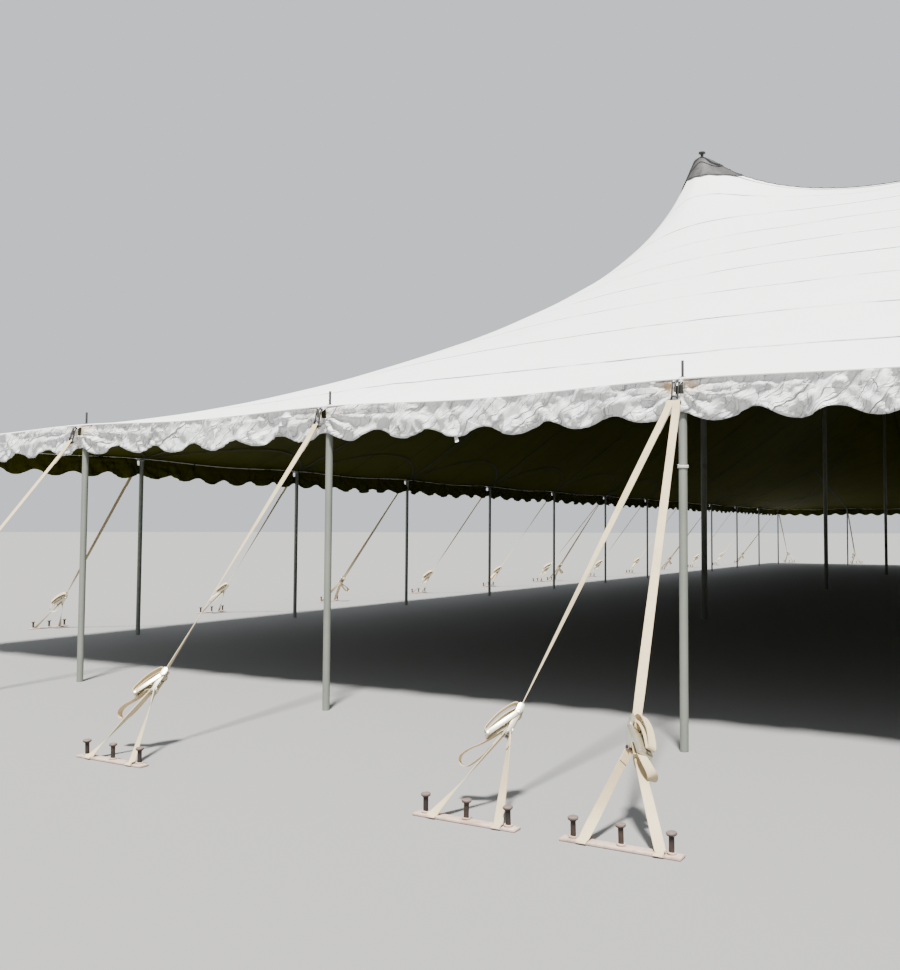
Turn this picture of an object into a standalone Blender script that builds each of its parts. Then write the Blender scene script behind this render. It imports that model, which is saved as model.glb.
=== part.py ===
# Pole tent at 1:2 scale: canopy, scalloped valances, main poles, and side poles with their guys.
import math

import bmesh
import bpy
import numpy as np
from mathutils import Matrix, Vector

# Driving sizes of the half size model, in metres. X runs across the tent and Y along it.
BAY = 1.524                 # side pole spacing
BAYS_WIDE = 6
BAYS_LONG = 12
MAIN_ROW_BAYS = 1           # main pole rows stand this many bays either side of the middle
MAIN_PITCH_BAYS = 3         # spacing of the main poles along a row
EAVE = 1.228                # top of the canopy at its edge
PEAK = 3.870                # top of the canopy at a main pole
CLEAR = 0.0003              # gap left between pieces that touch

# Canopy
CANOPY_THICK = 0.008
RIM_WIDTH = 0.060           # flat band along the eave that the side poles carry
PATCH_HALF = 0.050          # half side of the flat patch over a main pole
PULL_ACROSS = 0.37          # pull of the plain cloth across the tent, against 1 along it
REINFORCE = 0.062           # reach of the stiffer cloth round a peak
RIDGE_WEB = 1.06            # pull of the webbing from peak to peak across the tent

# Side poles
POLE_RADIUS = 0.0145
POLE_SIDES = 8
POLE_INSET = 0.030          # canopy edge to pole centre
PIN_RADIUS = 0.005
PIN_ABOVE = 0.060           # pin above the canopy

# Main poles
MAIN_RADIUS = 0.025
MAIN_SIDES = 12
STEM_RADIUS = 0.0125
CAP_RADIUS = 0.030
CAP_ABOVE = 0.056           # top of the mushroom cap above the canopy
CAP_RISE = 0.018

# Valance
VALANCE_THICK = 0.004
VALANCE_DROP = 0.140
SCALLOP_RISE = 0.036
SCALLOPS_PER_BAY = 6
SCALLOP_STEPS = 3           # a notch and the two ends of a lobe
SLOT_HALF = 0.016           # half width of the slot that a hook passes through
SLOT_DROP = 0.060

# Guys
ROOT_DROP = 0.016           # canopy top to the root of the hook on the pole
HOOK_OUT = 0.052            # canopy edge to the eye of the hook
HOOK_DROP = 0.080           # canopy top to the eye of the hook
HOOK_WIDTH = 0.014
HOOK_THICK = 0.010
STRAP_WIDTH = 0.0255
STRAP_THICK = 0.003
STAKE_OUT = 0.975           # side pole to the row of stakes
APEX_SHARE = 0.835          # where the bridle starts along the guy
RATCHET_LENGTH = 0.100
RATCHET_WIDTH = 0.036
RATCHET_THICK = 0.022
BRIDLE_SPREAD = 0.095       # half distance between the feet of the bridle
BAR_LENGTH = 0.300
BAR_WIDTH = 0.032
BAR_THICK = 0.006
STAKE_SPACING = 0.122
STAKE_RADIUS = 0.0065
STAKE_HEAD_RADIUS = 0.0122
STAKE_ABOVE = 0.056
STAKE_HEAD_RISE = 0.014
STAKE_SIDES = 6
TWIN_SPREAD = 0.210         # sideways reach of each guy of a pair
GUY_SINK = 0.004            # how far joined pieces run into each other

HALF_WIDE = BAYS_WIDE * BAY / 2
HALF_LONG = BAYS_LONG * BAY / 2
EDGE_X = HALF_WIDE + POLE_INSET
EDGE_Y = HALF_LONG + POLE_INSET
MAIN_X = MAIN_ROW_BAYS * BAY
MAIN_ROWS_Y = [-MAIN_PITCH_BAYS * BAY, 0.0, MAIN_PITCH_BAYS * BAY]


def clear_scene():
    for obj in list(bpy.data.objects):
        bpy.data.objects.remove(obj, do_unlink=True)


def make_material(name, colour, roughness, metallic):
    material = bpy.data.materials.new(name)
    material.use_nodes = True
    shader = material.node_tree.nodes["Principled BSDF"]
    shader.inputs["Base Color"].default_value = (*colour, 1.0)
    shader.inputs["Roughness"].default_value = roughness
    shader.inputs["Metallic"].default_value = metallic
    return material


def object_from(mesh_data, name, material=None):
    """Make an object from a bmesh and free the bmesh."""
    bmesh.ops.recalc_face_normals(mesh_data, faces=mesh_data.faces[:])
    mesh = bpy.data.meshes.new(name)
    mesh_data.to_mesh(mesh)
    mesh_data.free()
    if material is not None:
        mesh.materials.append(material)
    obj = bpy.data.objects.new(name, mesh)
    bpy.context.collection.objects.link(obj)
    return obj


def turned(profile, sides):
    """Turn (radius, height) points, listed from the bottom up, round Z into a closed solid."""
    solid = bmesh.new()
    rings = []
    for radius, height in profile:
        ring = []
        for step in range(sides):
            angle = 2 * math.pi * (step + 0.5) / sides
            ring.append(solid.verts.new((radius * math.cos(angle), radius * math.sin(angle), height)))
        rings.append(ring)
    for low, high in zip(rings, rings[1:]):
        for step in range(sides):
            after = (step + 1) % sides
            solid.faces.new((low[step], low[after], high[after], high[step]))
    solid.faces.new(list(reversed(rings[0])))
    solid.faces.new(rings[-1])
    return solid


def bar(start, end, width, thick, across):
    """A flat bar from start to end, its width as near as can be along the vector across."""
    start = Vector(start)
    end = Vector(end)
    along = (end - start).normalized()
    normal = along.cross(Vector(across)).normalized()
    side = normal.cross(along).normalized()
    frame = Matrix((side, normal, along)).transposed().to_4x4()
    frame.translation = (start + end) / 2
    size = Matrix.Diagonal((width, thick, (end - start).length, 1.0))
    solid = bmesh.new()
    bmesh.ops.create_cube(solid, size=1.0, matrix=frame @ size)
    return solid


def moved(solid, offset):
    bmesh.ops.translate(solid, vec=Vector(offset), verts=solid.verts[:])
    return solid


def unite(base, pieces):
    """Join overlapping closed solids, and the base object, into one with a Boolean union."""
    heap = bmesh.new()
    for piece in pieces:
        bmesh.ops.recalc_face_normals(piece, faces=piece.faces[:])
        mesh = bpy.data.meshes.new("piece")
        piece.to_mesh(mesh)
        piece.free()
        heap.from_mesh(mesh)
        bpy.data.meshes.remove(mesh)
    mesh = bpy.data.meshes.new("pieces")
    heap.to_mesh(mesh)
    heap.free()
    other = bpy.data.objects.new("pieces", mesh)
    bpy.context.collection.objects.link(other)
    union = base.modifiers.new("union", "BOOLEAN")
    union.operation = "UNION"
    union.solver = "EXACT"
    union.use_self = True
    union.object = other
    depsgraph = bpy.context.evaluated_depsgraph_get()
    base.data = bpy.data.meshes.new_from_object(base.evaluated_get(depsgraph))
    base.modifiers.clear()
    bpy.data.objects.remove(other, do_unlink=True)


def graded(low, high, centres, reach):
    """Grid lines from low to high: every bay, and closer together round the main poles."""
    closer = [0.28, 1.0]
    values = {low, high}
    first = math.ceil(low / BAY)
    last = math.floor(high / BAY)
    for bay in range(first, last + 1):
        values.add(bay * BAY)
    for centre in centres:
        for side in (-1, 1):
            values.add(centre + side * PATCH_HALF)
            for share in closer:
                values.add(centre + side * (PATCH_HALF + share * (reach - PATCH_HALF)))
    ordered = sorted(values)
    kept = [ordered[0]]
    for value in ordered[1:]:
        if value - kept[-1] > PATCH_HALF / 2:
            kept.append(value)
    return kept


def relaxed_heights(xs, ys):
    """Heights of a stretched net, held level round its edge and up at the main poles."""
    across = len(xs)
    count = across * len(ys)
    poles = [(side * MAIN_X, row) for side in (-1, 1) for row in MAIN_ROWS_Y]
    cell_x = np.gradient(xs)
    cell_y = np.gradient(ys)
    pull = np.zeros((count, count))

    def stiffness(x, y, plain):
        nearest = min(math.hypot(x - px, y - py) for px, py in poles)
        return plain + REINFORCE / max(nearest, PATCH_HALF)

    def webbing(x, y):
        on_row = any(abs(y - row) < PATCH_HALF / 2 for row in MAIN_ROWS_Y)
        return RIDGE_WEB if on_row and abs(x) < MAIN_X else 0.0

    def tie(a, b, strength):
        pull[a, a] += strength
        pull[b, b] += strength
        pull[a, b] -= strength
        pull[b, a] -= strength

    for j, y in enumerate(ys):
        for i, x in enumerate(xs):
            here = j * across + i
            if i + 1 < across:
                middle = (x + xs[i + 1]) / 2
                strength = stiffness(middle, y, PULL_ACROSS) * cell_y[j] + webbing(middle, y)
                tie(here, here + 1, strength / (xs[i + 1] - x))
            if j + 1 < len(ys):
                middle = (y + ys[j + 1]) / 2
                strength = stiffness(x, middle, 1.0) * cell_x[i]
                tie(here, here + across, strength / (ys[j + 1] - y))

    held = np.zeros(count)
    for j, y in enumerate(ys):
        for i, x in enumerate(xs):
            here = j * across + i
            on_rim = abs(x) > EDGE_X - RIM_WIDTH - CLEAR or abs(y) > EDGE_Y - RIM_WIDTH - CLEAR
            on_patch = any(max(abs(x - px), abs(y - py)) < PATCH_HALF + CLEAR for px, py in poles)
            if on_rim or on_patch:
                pull[here, :] = 0.0
                pull[here, here] = 1.0
                held[here] = EAVE if on_rim else PEAK
    return np.linalg.solve(pull, held).reshape(len(ys), across)


def canopy(material):
    """The roof cloth as one thin closed shell, with a hole over each pole."""
    reach = 0.62 * BAY
    rim_x = EDGE_X - RIM_WIDTH
    rim_y = EDGE_Y - RIM_WIDTH
    inner_x = graded(-rim_x, rim_x, [-MAIN_X, MAIN_X], reach)
    inner_y = graded(-rim_y, rim_y, MAIN_ROWS_Y, reach)
    xs = [-EDGE_X] + inner_x + [EDGE_X]
    ys = [-EDGE_Y] + inner_y + [EDGE_Y]
    heights = relaxed_heights(xs, ys)
    shell = bmesh.new()
    top = []
    under = []
    for j, y in enumerate(ys):
        top.append([shell.verts.new((x, y, heights[j, i])) for i, x in enumerate(xs)])
        under.append([shell.verts.new((x, y, heights[j, i] - CANOPY_THICK)) for i, x in enumerate(xs)])
    last_i = len(xs) - 1
    last_j = len(ys) - 1
    for j in range(last_j):
        for i in range(last_i):
            shell.faces.new((top[j][i], top[j][i + 1], top[j + 1][i + 1], top[j + 1][i]))
            shell.faces.new((under[j][i], under[j + 1][i], under[j + 1][i + 1], under[j][i + 1]))
    for i in range(last_i):
        for j in (0, last_j):
            shell.faces.new((top[j][i], top[j][i + 1], under[j][i + 1], under[j][i]))
    for j in range(last_j):
        for i in (0, last_i):
            shell.faces.new((top[j][i], top[j + 1][i], under[j + 1][i], under[j][i]))
    bmesh.ops.triangulate(shell, faces=shell.faces[:])
    roof = object_from(shell, "canopy", material)

    drills = bmesh.new()
    for x, y, _ in side_pole_places():
        add_drill(drills, (x, y, EAVE), PIN_RADIUS + CLEAR, POLE_SIDES)
    for side in (-1, 1):
        for row in MAIN_ROWS_Y:
            add_drill(drills, (side * MAIN_X, row, PEAK), STEM_RADIUS + CLEAR, MAIN_SIDES)
    cutter = object_from(drills, "canopy_hole_cutter")
    cutter.hide_render = True
    cutter.display_type = "WIRE"
    holes = roof.modifiers.new("pole_holes", "BOOLEAN")
    holes.operation = "DIFFERENCE"
    holes.solver = "EXACT"
    holes.object = cutter
    return roof


def add_drill(solid, place, radius, sides):
    """Add an upright drill, set like the pins that pass through its hole."""
    turn = Matrix.Rotation(math.pi / sides, 4, "Z")
    bmesh.ops.create_cone(solid, cap_ends=True, segments=sides, radius1=radius, radius2=radius,
                          depth=4 * CANOPY_THICK, matrix=Matrix.Translation(place) @ turn)


def side_pole_places():
    """Yield x, y and kind of each side pole, anticlockwise from the front left corner."""
    half_wide = BAYS_WIDE / 2
    half_long = BAYS_LONG / 2
    places = []
    for step in range(BAYS_WIDE + 1):
        places.append(((step - half_wide) * BAY, -HALF_LONG, "front"))
    for step in range(1, BAYS_LONG):
        places.append((HALF_WIDE, (step - half_long) * BAY, "right"))
    for step in range(BAYS_WIDE, -1, -1):
        places.append(((step - half_wide) * BAY, HALF_LONG, "back"))
    for step in range(BAYS_LONG - 1, 0, -1):
        places.append((-HALF_WIDE, (step - half_long) * BAY, "left"))
    return places


def guy_pieces(foot_x):
    """One guy of a pole at the origin, running out along -Y to stakes set foot_x to the side."""
    edge = -POLE_INSET
    hook_root = Vector((0.0, 0.0, EAVE - ROOT_DROP))
    hook_eye = Vector((0.0, edge - HOOK_OUT, EAVE - HOOK_DROP))
    foot = Vector((foot_x, -STAKE_OUT, BAR_THICK))
    run = foot - hook_eye
    down = run.normalized()
    apex = hook_eye + APEX_SHARE * run
    sideways = Vector((1.0, 0.0, 0.0))
    pieces = [
        bar(hook_root, hook_eye, HOOK_WIDTH, HOOK_THICK, sideways),
        bar(hook_eye - GUY_SINK * down, apex, STRAP_WIDTH, STRAP_THICK, sideways),
        bar(apex - RATCHET_LENGTH * down, apex + GUY_SINK * down, RATCHET_WIDTH, RATCHET_THICK, sideways),
    ]
    bar_middle = Vector((foot_x, -STAKE_OUT, BAR_THICK / 2))
    half_bar = Vector((BAR_LENGTH / 2, 0.0, 0.0))
    pieces.append(bar(bar_middle - half_bar, bar_middle + half_bar, BAR_WIDTH, BAR_THICK, (0, 1, 0)))
    for side in (-1, 1):
        end = Vector((foot_x + side * BRIDLE_SPREAD, -STAKE_OUT - BAR_WIDTH / 4, BAR_THICK))
        pieces.append(bar(apex - GUY_SINK * down, end, STRAP_WIDTH, STRAP_THICK, sideways))
    head_under = STAKE_ABOVE - STAKE_HEAD_RISE
    profile = [(STAKE_RADIUS, BAR_THICK / 2), (STAKE_RADIUS, head_under), (STAKE_HEAD_RADIUS, STAKE_ABOVE)]
    for place in (-1, 0, 1):
        stake = turned(profile, STAKE_SIDES)
        pieces.append(moved(stake, (foot_x + place * STAKE_SPACING, -STAKE_OUT + GUY_SINK, 0.0)))
    return pieces


def side_pole_mesh(name, guys, material):
    """A side pole with its pin and guys. Each guy is (sideways reach, turn about the pole)."""
    shoulder = EAVE - CANOPY_THICK - CLEAR
    profile = [(POLE_RADIUS, 0.0), (POLE_RADIUS, shoulder), (PIN_RADIUS, shoulder),
               (PIN_RADIUS, EAVE + PIN_ABOVE)]
    pole = object_from(turned(profile, POLE_SIDES), name, material)
    pieces = []
    for foot_x, turn in guys:
        for piece in guy_pieces(foot_x):
            bmesh.ops.rotate(piece, cent=(0, 0, 0), matrix=Matrix.Rotation(turn, 3, "Z"), verts=piece.verts[:])
            pieces.append(piece)
    unite(pole, pieces)
    mesh = pole.data
    bpy.data.objects.remove(pole, do_unlink=True)
    return mesh


def side_poles(material):
    """Place a side pole at every bay: one guy each, two at the corners and at each middle pole."""
    single = side_pole_mesh("side_pole_single", [(0.0, 0.0)], material)
    twin = side_pole_mesh("side_pole_twin", [(-TWIN_SPREAD, 0.0), (TWIN_SPREAD, 0.0)], material)
    corner = side_pole_mesh("side_pole_corner", [(0.0, 0.0), (0.0, -math.pi / 2)], material)
    turn_of = {"front": 0.0, "right": math.pi / 2, "back": math.pi, "left": -math.pi / 2}
    corner_turn = {(-1, -1): 0.0, (1, -1): math.pi / 2, (1, 1): math.pi, (-1, 1): -math.pi / 2}
    numbers = {side: 0 for side in turn_of}
    for x, y, side in side_pole_places():
        numbers[side] += 1
        at_corner = abs(x) > HALF_WIDE - CLEAR and abs(y) > HALF_LONG - CLEAR
        at_middle = abs(x) < CLEAR or abs(y) < CLEAR
        mesh = corner if at_corner else twin if at_middle else single
        turn = corner_turn[(int(math.copysign(1, x)), int(math.copysign(1, y)))] if at_corner else turn_of[side]
        pole = bpy.data.objects.new(f"side_pole_{side}_{numbers[side]}", mesh)
        pole.location = (x, y, 0.0)
        pole.rotation_euler = (0.0, 0.0, turn)
        bpy.context.collection.objects.link(pole)


def main_poles(material):
    """Six tall poles, each with a stem and mushroom cap above the canopy."""
    shoulder = PEAK - CANOPY_THICK - CLEAR
    cap_under = PEAK + CAP_ABOVE - CAP_RISE
    profile = [(MAIN_RADIUS, 0.0), (MAIN_RADIUS, shoulder), (STEM_RADIUS, shoulder),
               (STEM_RADIUS, cap_under), (CAP_RADIUS, cap_under + CAP_RISE / 2),
               (CAP_RADIUS / 2, cap_under + CAP_RISE)]
    for side, side_name in ((-1, "left"), (1, "right")):
        for row, row_name in zip(MAIN_ROWS_Y, ("front", "middle", "back")):
            pole = object_from(turned(profile, MAIN_SIDES), f"main_pole_{row_name}_{side_name}", material)
            pole.location = (side * MAIN_X, row, 0.0)


def valance(name, bays, end_reach, place, turn, material):
    """A hanging strip with scallops below and a slot in its top edge at each side pole."""
    half = bays * BAY / 2
    slots = [step * BAY - half for step in range(bays + 1)]
    top = [(-end_reach, 0.0)]
    for slot in slots:
        top += [(slot - SLOT_HALF, 0.0), (slot - SLOT_HALF, -SLOT_DROP),
                (slot + SLOT_HALF, -SLOT_DROP), (slot + SLOT_HALF, 0.0)]
    top.append((end_reach, 0.0))
    scallops = bays * SCALLOPS_PER_BAY
    steps = scallops * SCALLOP_STEPS
    bottom = []
    for step in range(steps + 1):
        along = half - 2 * half * step / steps
        lift = SCALLOP_RISE if step % SCALLOP_STEPS == 0 else 0.0
        bottom.append((along, lift - VALANCE_DROP))
    notch = SCALLOP_RISE - VALANCE_DROP
    outline = top + [(end_reach, notch)] + bottom + [(-end_reach, notch)]
    strip = bmesh.new()
    face = strip.faces.new([strip.verts.new((x, 0.0, z)) for x, z in outline])
    sweep = bmesh.ops.extrude_face_region(strip, geom=[face])
    pushed = [part for part in sweep["geom"] if isinstance(part, bmesh.types.BMVert)]
    bmesh.ops.translate(strip, vec=(0.0, VALANCE_THICK, 0.0), verts=pushed)
    cloth = object_from(strip, name, material)
    cloth.location = (*place, EAVE)
    cloth.rotation_euler = (0.0, 0.0, turn)


def valances(material):
    """Four strips round the canopy edge; the end strips run past the ends of the side ones."""
    out_x = EDGE_X + CLEAR + VALANCE_THICK
    out_y = EDGE_Y + CLEAR + VALANCE_THICK
    valance("valance_front", BAYS_WIDE, out_x, (0.0, -out_y), 0.0, material)
    valance("valance_back", BAYS_WIDE, out_x, (0.0, out_y), math.pi, material)
    valance("valance_right", BAYS_LONG, EDGE_Y, (out_x, 0.0), math.pi / 2, material)
    valance("valance_left", BAYS_LONG, EDGE_Y, (-out_x, 0.0), -math.pi / 2, material)


def build():
    clear_scene()
    vinyl = make_material("canopy_vinyl", (0.86, 0.86, 0.84), 0.45, 0.0)
    skirt = make_material("valance_vinyl", (0.84, 0.84, 0.82), 0.50, 0.0)
    steel = make_material("galvanised_pole", (0.55, 0.57, 0.55), 0.45, 0.8)
    dark = make_material("dark_main_pole", (0.16, 0.17, 0.15), 0.55, 0.6)
    canopy(vinyl)
    valances(skirt)
    main_poles(dark)
    side_poles(steel)


build()
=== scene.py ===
import math

import bmesh
import bpy
import numpy as np
from mathutils import Matrix, Vector


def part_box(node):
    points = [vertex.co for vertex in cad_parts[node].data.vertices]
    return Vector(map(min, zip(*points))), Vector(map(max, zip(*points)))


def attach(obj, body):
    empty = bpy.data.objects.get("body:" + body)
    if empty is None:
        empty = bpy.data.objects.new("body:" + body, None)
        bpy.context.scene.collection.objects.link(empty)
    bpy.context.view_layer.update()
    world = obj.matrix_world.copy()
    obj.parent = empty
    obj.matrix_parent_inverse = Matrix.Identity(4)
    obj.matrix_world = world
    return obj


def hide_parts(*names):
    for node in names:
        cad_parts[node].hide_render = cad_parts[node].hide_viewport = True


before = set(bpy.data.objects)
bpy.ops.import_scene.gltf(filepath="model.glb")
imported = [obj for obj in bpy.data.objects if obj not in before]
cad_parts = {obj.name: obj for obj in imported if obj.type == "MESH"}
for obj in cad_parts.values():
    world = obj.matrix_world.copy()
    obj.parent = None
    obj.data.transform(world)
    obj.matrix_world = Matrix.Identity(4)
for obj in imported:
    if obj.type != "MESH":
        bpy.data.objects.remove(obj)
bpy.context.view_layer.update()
print("frame loaded")

# Sizes of the tent, most of them read from the frame
roofLow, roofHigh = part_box("canopy")
tent = {
    "bay": 1.524,            # side pole spacing
    "baysWide": 6,
    "baysLong": 12,
    "edgeX": roofHigh.x,     # canopy edge
    "edgeY": roofHigh.y,
    "peak": roofHigh.z,      # top of the cloth at a main pole
    "eave": roofLow.z + 0.008,
    "mainX": (roofHigh.x - 0.03) / 3,
    "rowY": 4.572,           # from the middle row of main poles to the front and back rows
    "seamPitch": 0.54,
    "seamShift": 0.12,       # sets the first seam in from the front edge
}
tent["halfWide"] = tent["bay"] * tent["baysWide"] / 2
tent["halfLong"] = tent["bay"] * tent["baysLong"] / 2
rowsY = {"front": -tent["rowY"], "middle": 0.0, "back": tent["rowY"]}
linesX = {"left": -tent["mainX"], "right": tent["mainX"]}
quarter = math.pi / 2


def listSidePoles():  # anticlockwise from the front left corner, numbered as in the frame
    bay, halfWide, halfLong = tent["bay"], tent["halfWide"], tent["halfLong"]
    wide, long = range(tent["baysWide"] + 1), range(1, tent["baysLong"])
    return ([(step * bay - halfWide, -halfLong, "front", step + 1) for step in wide]
            + [(halfWide, step * bay - halfLong, "right", step) for step in long]
            + [(halfWide - step * bay, halfLong, "back", step + 1) for step in wide]
            + [(-halfWide, halfLong - step * bay, "left", step) for step in long])


sidePoles = listSidePoles()


def isCorner(x, y):
    return abs(x) > tent["halfWide"] - 0.01 and abs(y) > tent["halfLong"] - 0.01


# Small helpers for picking, shaping and joining

def deselectAll():
    if bpy.context.object and bpy.context.object.mode != "OBJECT":
        bpy.ops.object.mode_set(mode="OBJECT")
    bpy.ops.object.select_all(action="DESELECT")


def pick(*pieces):
    deselectAll()
    for piece in pieces:
        piece.select_set(True)
    bpy.context.view_layer.objects.active = pieces[0]


def begin(operator, name, **settings):  # a basic form, with its place, turn and size in its mesh
    deselectAll()
    operator(**settings)
    piece = bpy.context.object
    piece.name = name
    bpy.ops.object.transform_apply(location=True, rotation=True, scale=True)
    return piece


def applyModifier(piece, kind, **settings):
    pick(piece)
    modifier = piece.modifiers.new(kind.lower(), kind)
    for key, value in settings.items():
        setattr(modifier, key, value)
    bpy.ops.object.modifier_apply(modifier=modifier.name)


def bevelEdges(piece, width, **settings):
    applyModifier(piece, "BEVEL", width=width, segments=2, limit_method="ANGLE", **settings)


def thicken(piece, thickness, offset=0, **settings):
    applyModifier(piece, "SOLIDIFY", thickness=thickness, offset=offset, **settings)


def selectFaces(piece, wanted):  # edit mode, with the faces chosen by middle and normal
    pick(piece)
    bpy.ops.object.mode_set(mode="EDIT")
    bpy.ops.mesh.select_mode(type="FACE")
    bpy.ops.mesh.select_all(action="DESELECT")
    mesh = bmesh.from_edit_mesh(piece.data)
    for face in mesh.faces:
        face.select_set(bool(wanted(face.calc_center_median(), face.normal)))
    bmesh.update_edit_mesh(piece.data)


def selectEnd(piece, way):  # the faces on top with 1, those below with -1
    selectFaces(piece, lambda middle, normal: normal.z * way > 0.9)


def extrude(x, y, z):
    bpy.ops.mesh.extrude_region_move(TRANSFORM_OT_translate={"value": (x, y, z)})


def widen(x, y, centre=(0, 0, 0)):
    bpy.ops.transform.resize(value=(x, y, 1), center_override=centre)


def leaveEdit():
    bpy.ops.object.mode_set(mode="OBJECT")


def turnNormalsOut(piece, merge=0.0):
    pick(piece)
    bpy.ops.object.mode_set(mode="EDIT")
    bpy.ops.mesh.select_all(action="SELECT")
    if merge:
        bpy.ops.mesh.remove_doubles(threshold=merge)
    bpy.ops.mesh.normals_make_consistent(inside=False)
    leaveEdit()


def paint(piece, material):
    piece.data.materials.clear()
    piece.data.materials.append(material)
    return piece


def smooth(piece, degrees=35):
    pick(piece)
    bpy.ops.object.shade_smooth_by_angle(angle=math.radians(degrees))
    return piece


def smoothAll(piece):
    pick(piece)
    bpy.ops.object.shade_smooth()
    return piece


def joinPieces(name, parts):
    pick(*parts)
    if len(parts) > 1:
        bpy.ops.object.join()
    joined = bpy.context.object
    joined.name = name
    joined.data.name = name
    return joined


def copyTo(piece, place):  # each copy has its own mesh, with its place in it
    twin = piece.copy()
    twin.data = piece.data.copy()
    bpy.context.collection.objects.link(twin)
    twin.data.transform(place)
    return twin


def finishPiece(piece, slotName, *nodes):
    if nodes:
        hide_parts(*nodes)
    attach(piece, "root")


def turnTo(direction):
    return Vector(direction).to_track_quat("Z", "Y").to_euler()


def addColumn(name, radius, height, sides):
    return begin(bpy.ops.mesh.primitive_cylinder_add, name, vertices=sides, radius=radius, depth=height,
                 location=(0, 0, height / 2))


def addRod(name, start, end, radius, sides, material, bevel=0.0):
    start, end = Vector(start), Vector(end)
    rod = begin(bpy.ops.mesh.primitive_cylinder_add, name, vertices=sides, radius=radius,
                depth=(end - start).length, location=(start + end) / 2, rotation=turnTo(end - start))
    if bevel:
        bevelEdges(rod, bevel)
    return smooth(paint(rod, material))


def addPlate(name, middle, size, material, bevel):
    plate = begin(bpy.ops.mesh.primitive_cube_add, name, size=1, location=middle, scale=size)
    bevelEdges(plate, bevel)
    return smooth(paint(plate, material))


def addRing(name, middle, axis, ringRadius, rodRadius, steps, sides, material):
    ring = begin(bpy.ops.mesh.primitive_torus_add, name, major_radius=ringRadius, minor_radius=rodRadius,
                 major_segments=steps, minor_segments=sides, location=middle, rotation=turnTo(axis))
    return smooth(paint(ring, material), 60)


# Shader groups that several finishes share

def giveInputs(tree, node, values):
    for key, value in values.items():
        if isinstance(value, bpy.types.NodeSocket):
            tree.links.new(value, node.inputs[key])
        else:
            node.inputs[key].default_value = value
    return node


def addNode(tree, kind, values, **settings):
    node = tree.nodes.new(kind)
    for key, value in settings.items():
        setattr(node, key, value)
    return giveInputs(tree, node, values)


def doMath(tree, operation, first, second=0.0, clamp=False):
    return addNode(tree, "ShaderNodeMath", {0: first, 1: second}, operation=operation,
                   use_clamp=clamp).outputs[0]


def times(tree, first, second):
    return doMath(tree, "MULTIPLY", first, second)


def plus(tree, first, second, clamp=False):
    return doMath(tree, "ADD", first, second, clamp)


def minus(tree, first, second, clamp=False):
    return doMath(tree, "SUBTRACT", first, second, clamp)


def doVector(tree, operation, values, result=0):
    return addNode(tree, "ShaderNodeVectorMath", values, operation=operation).outputs[result]


def splitAxes(tree, vector):
    return addNode(tree, "ShaderNodeSeparateXYZ", {0: vector}).outputs


def mixColour(tree, factor, first, second):
    values = {"Factor": factor}
    for key, colour in ((6, first), (7, second)):
        values[key] = (*colour, 1.0) if isinstance(colour, tuple) else colour
    return addNode(tree, "ShaderNodeMix", values, data_type="RGBA").outputs[2]


def tint(tree, mask, amount, below, colour):  # so much of a colour over what is below, where the mask is
    return mixColour(tree, times(tree, mask, amount), below, colour)


def ownMap(tree):
    return addNode(tree, "ShaderNodeUVMap", {}, uv_map="clothMap").outputs[0]


def dimmed(colour, share):
    return tuple(share * part for part in colour)


def rampOf(tree, value, low, high):
    return addNode(tree, "ShaderNodeMapRange", {"Value": value, "From Min": low, "From Max": high},
                   interpolation_type="SMOOTHSTEP").outputs["Result"]


def startGroup(name, inputs, outputs):
    group = bpy.data.node_groups.new(name, "ShaderNodeTree")
    for label, value in inputs:
        kind = "NodeSocketFloat" if isinstance(value, float) else "NodeSocketVector"
        socket = group.interface.new_socket(name=label, in_out="INPUT", socket_type=kind)
        if value is not None:
            socket.default_value = value
    for label in outputs:
        group.interface.new_socket(name=label, in_out="OUTPUT", socket_type="NodeSocketFloat")
    return group, group.nodes.new("NodeGroupInput").outputs, group.nodes.new("NodeGroupOutput").inputs


def giveOut(group, leave, *values):
    for socket, value in zip(leave, values):
        group.links.new(value, socket)
    return group


def makePatchesGroup():  # soft blotches of dirt, wear or bleaching
    group, entry, leave = startGroup("patches", [("Coordinates", None), ("Size", 4.0), ("Cover", 0.4),
                                                 ("Edge", 0.15)], ["Mask", "Grain"])
    broad = addNode(group, "ShaderNodeTexNoise", {"Vector": entry[0], "Scale": entry[1], "Detail": 5.0,
                                                  "Roughness": 0.6, "Distortion": 0.4})
    fine = addNode(group, "ShaderNodeTexNoise", {"Vector": entry[0], "Scale": times(group, entry[1], 9.0),
                                                 "Detail": 3.0})
    blended = plus(group, times(group, broad.outputs[0], 0.8), times(group, fine.outputs[0], 0.2))
    level = minus(group, 0.78, times(group, entry[2], 0.5))
    mask = doMath(group, "DIVIDE", minus(group, blended, level), entry[3])
    return giveOut(group, leave, plus(group, mask, 0.5, clamp=True), fine.outputs[0])


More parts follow.
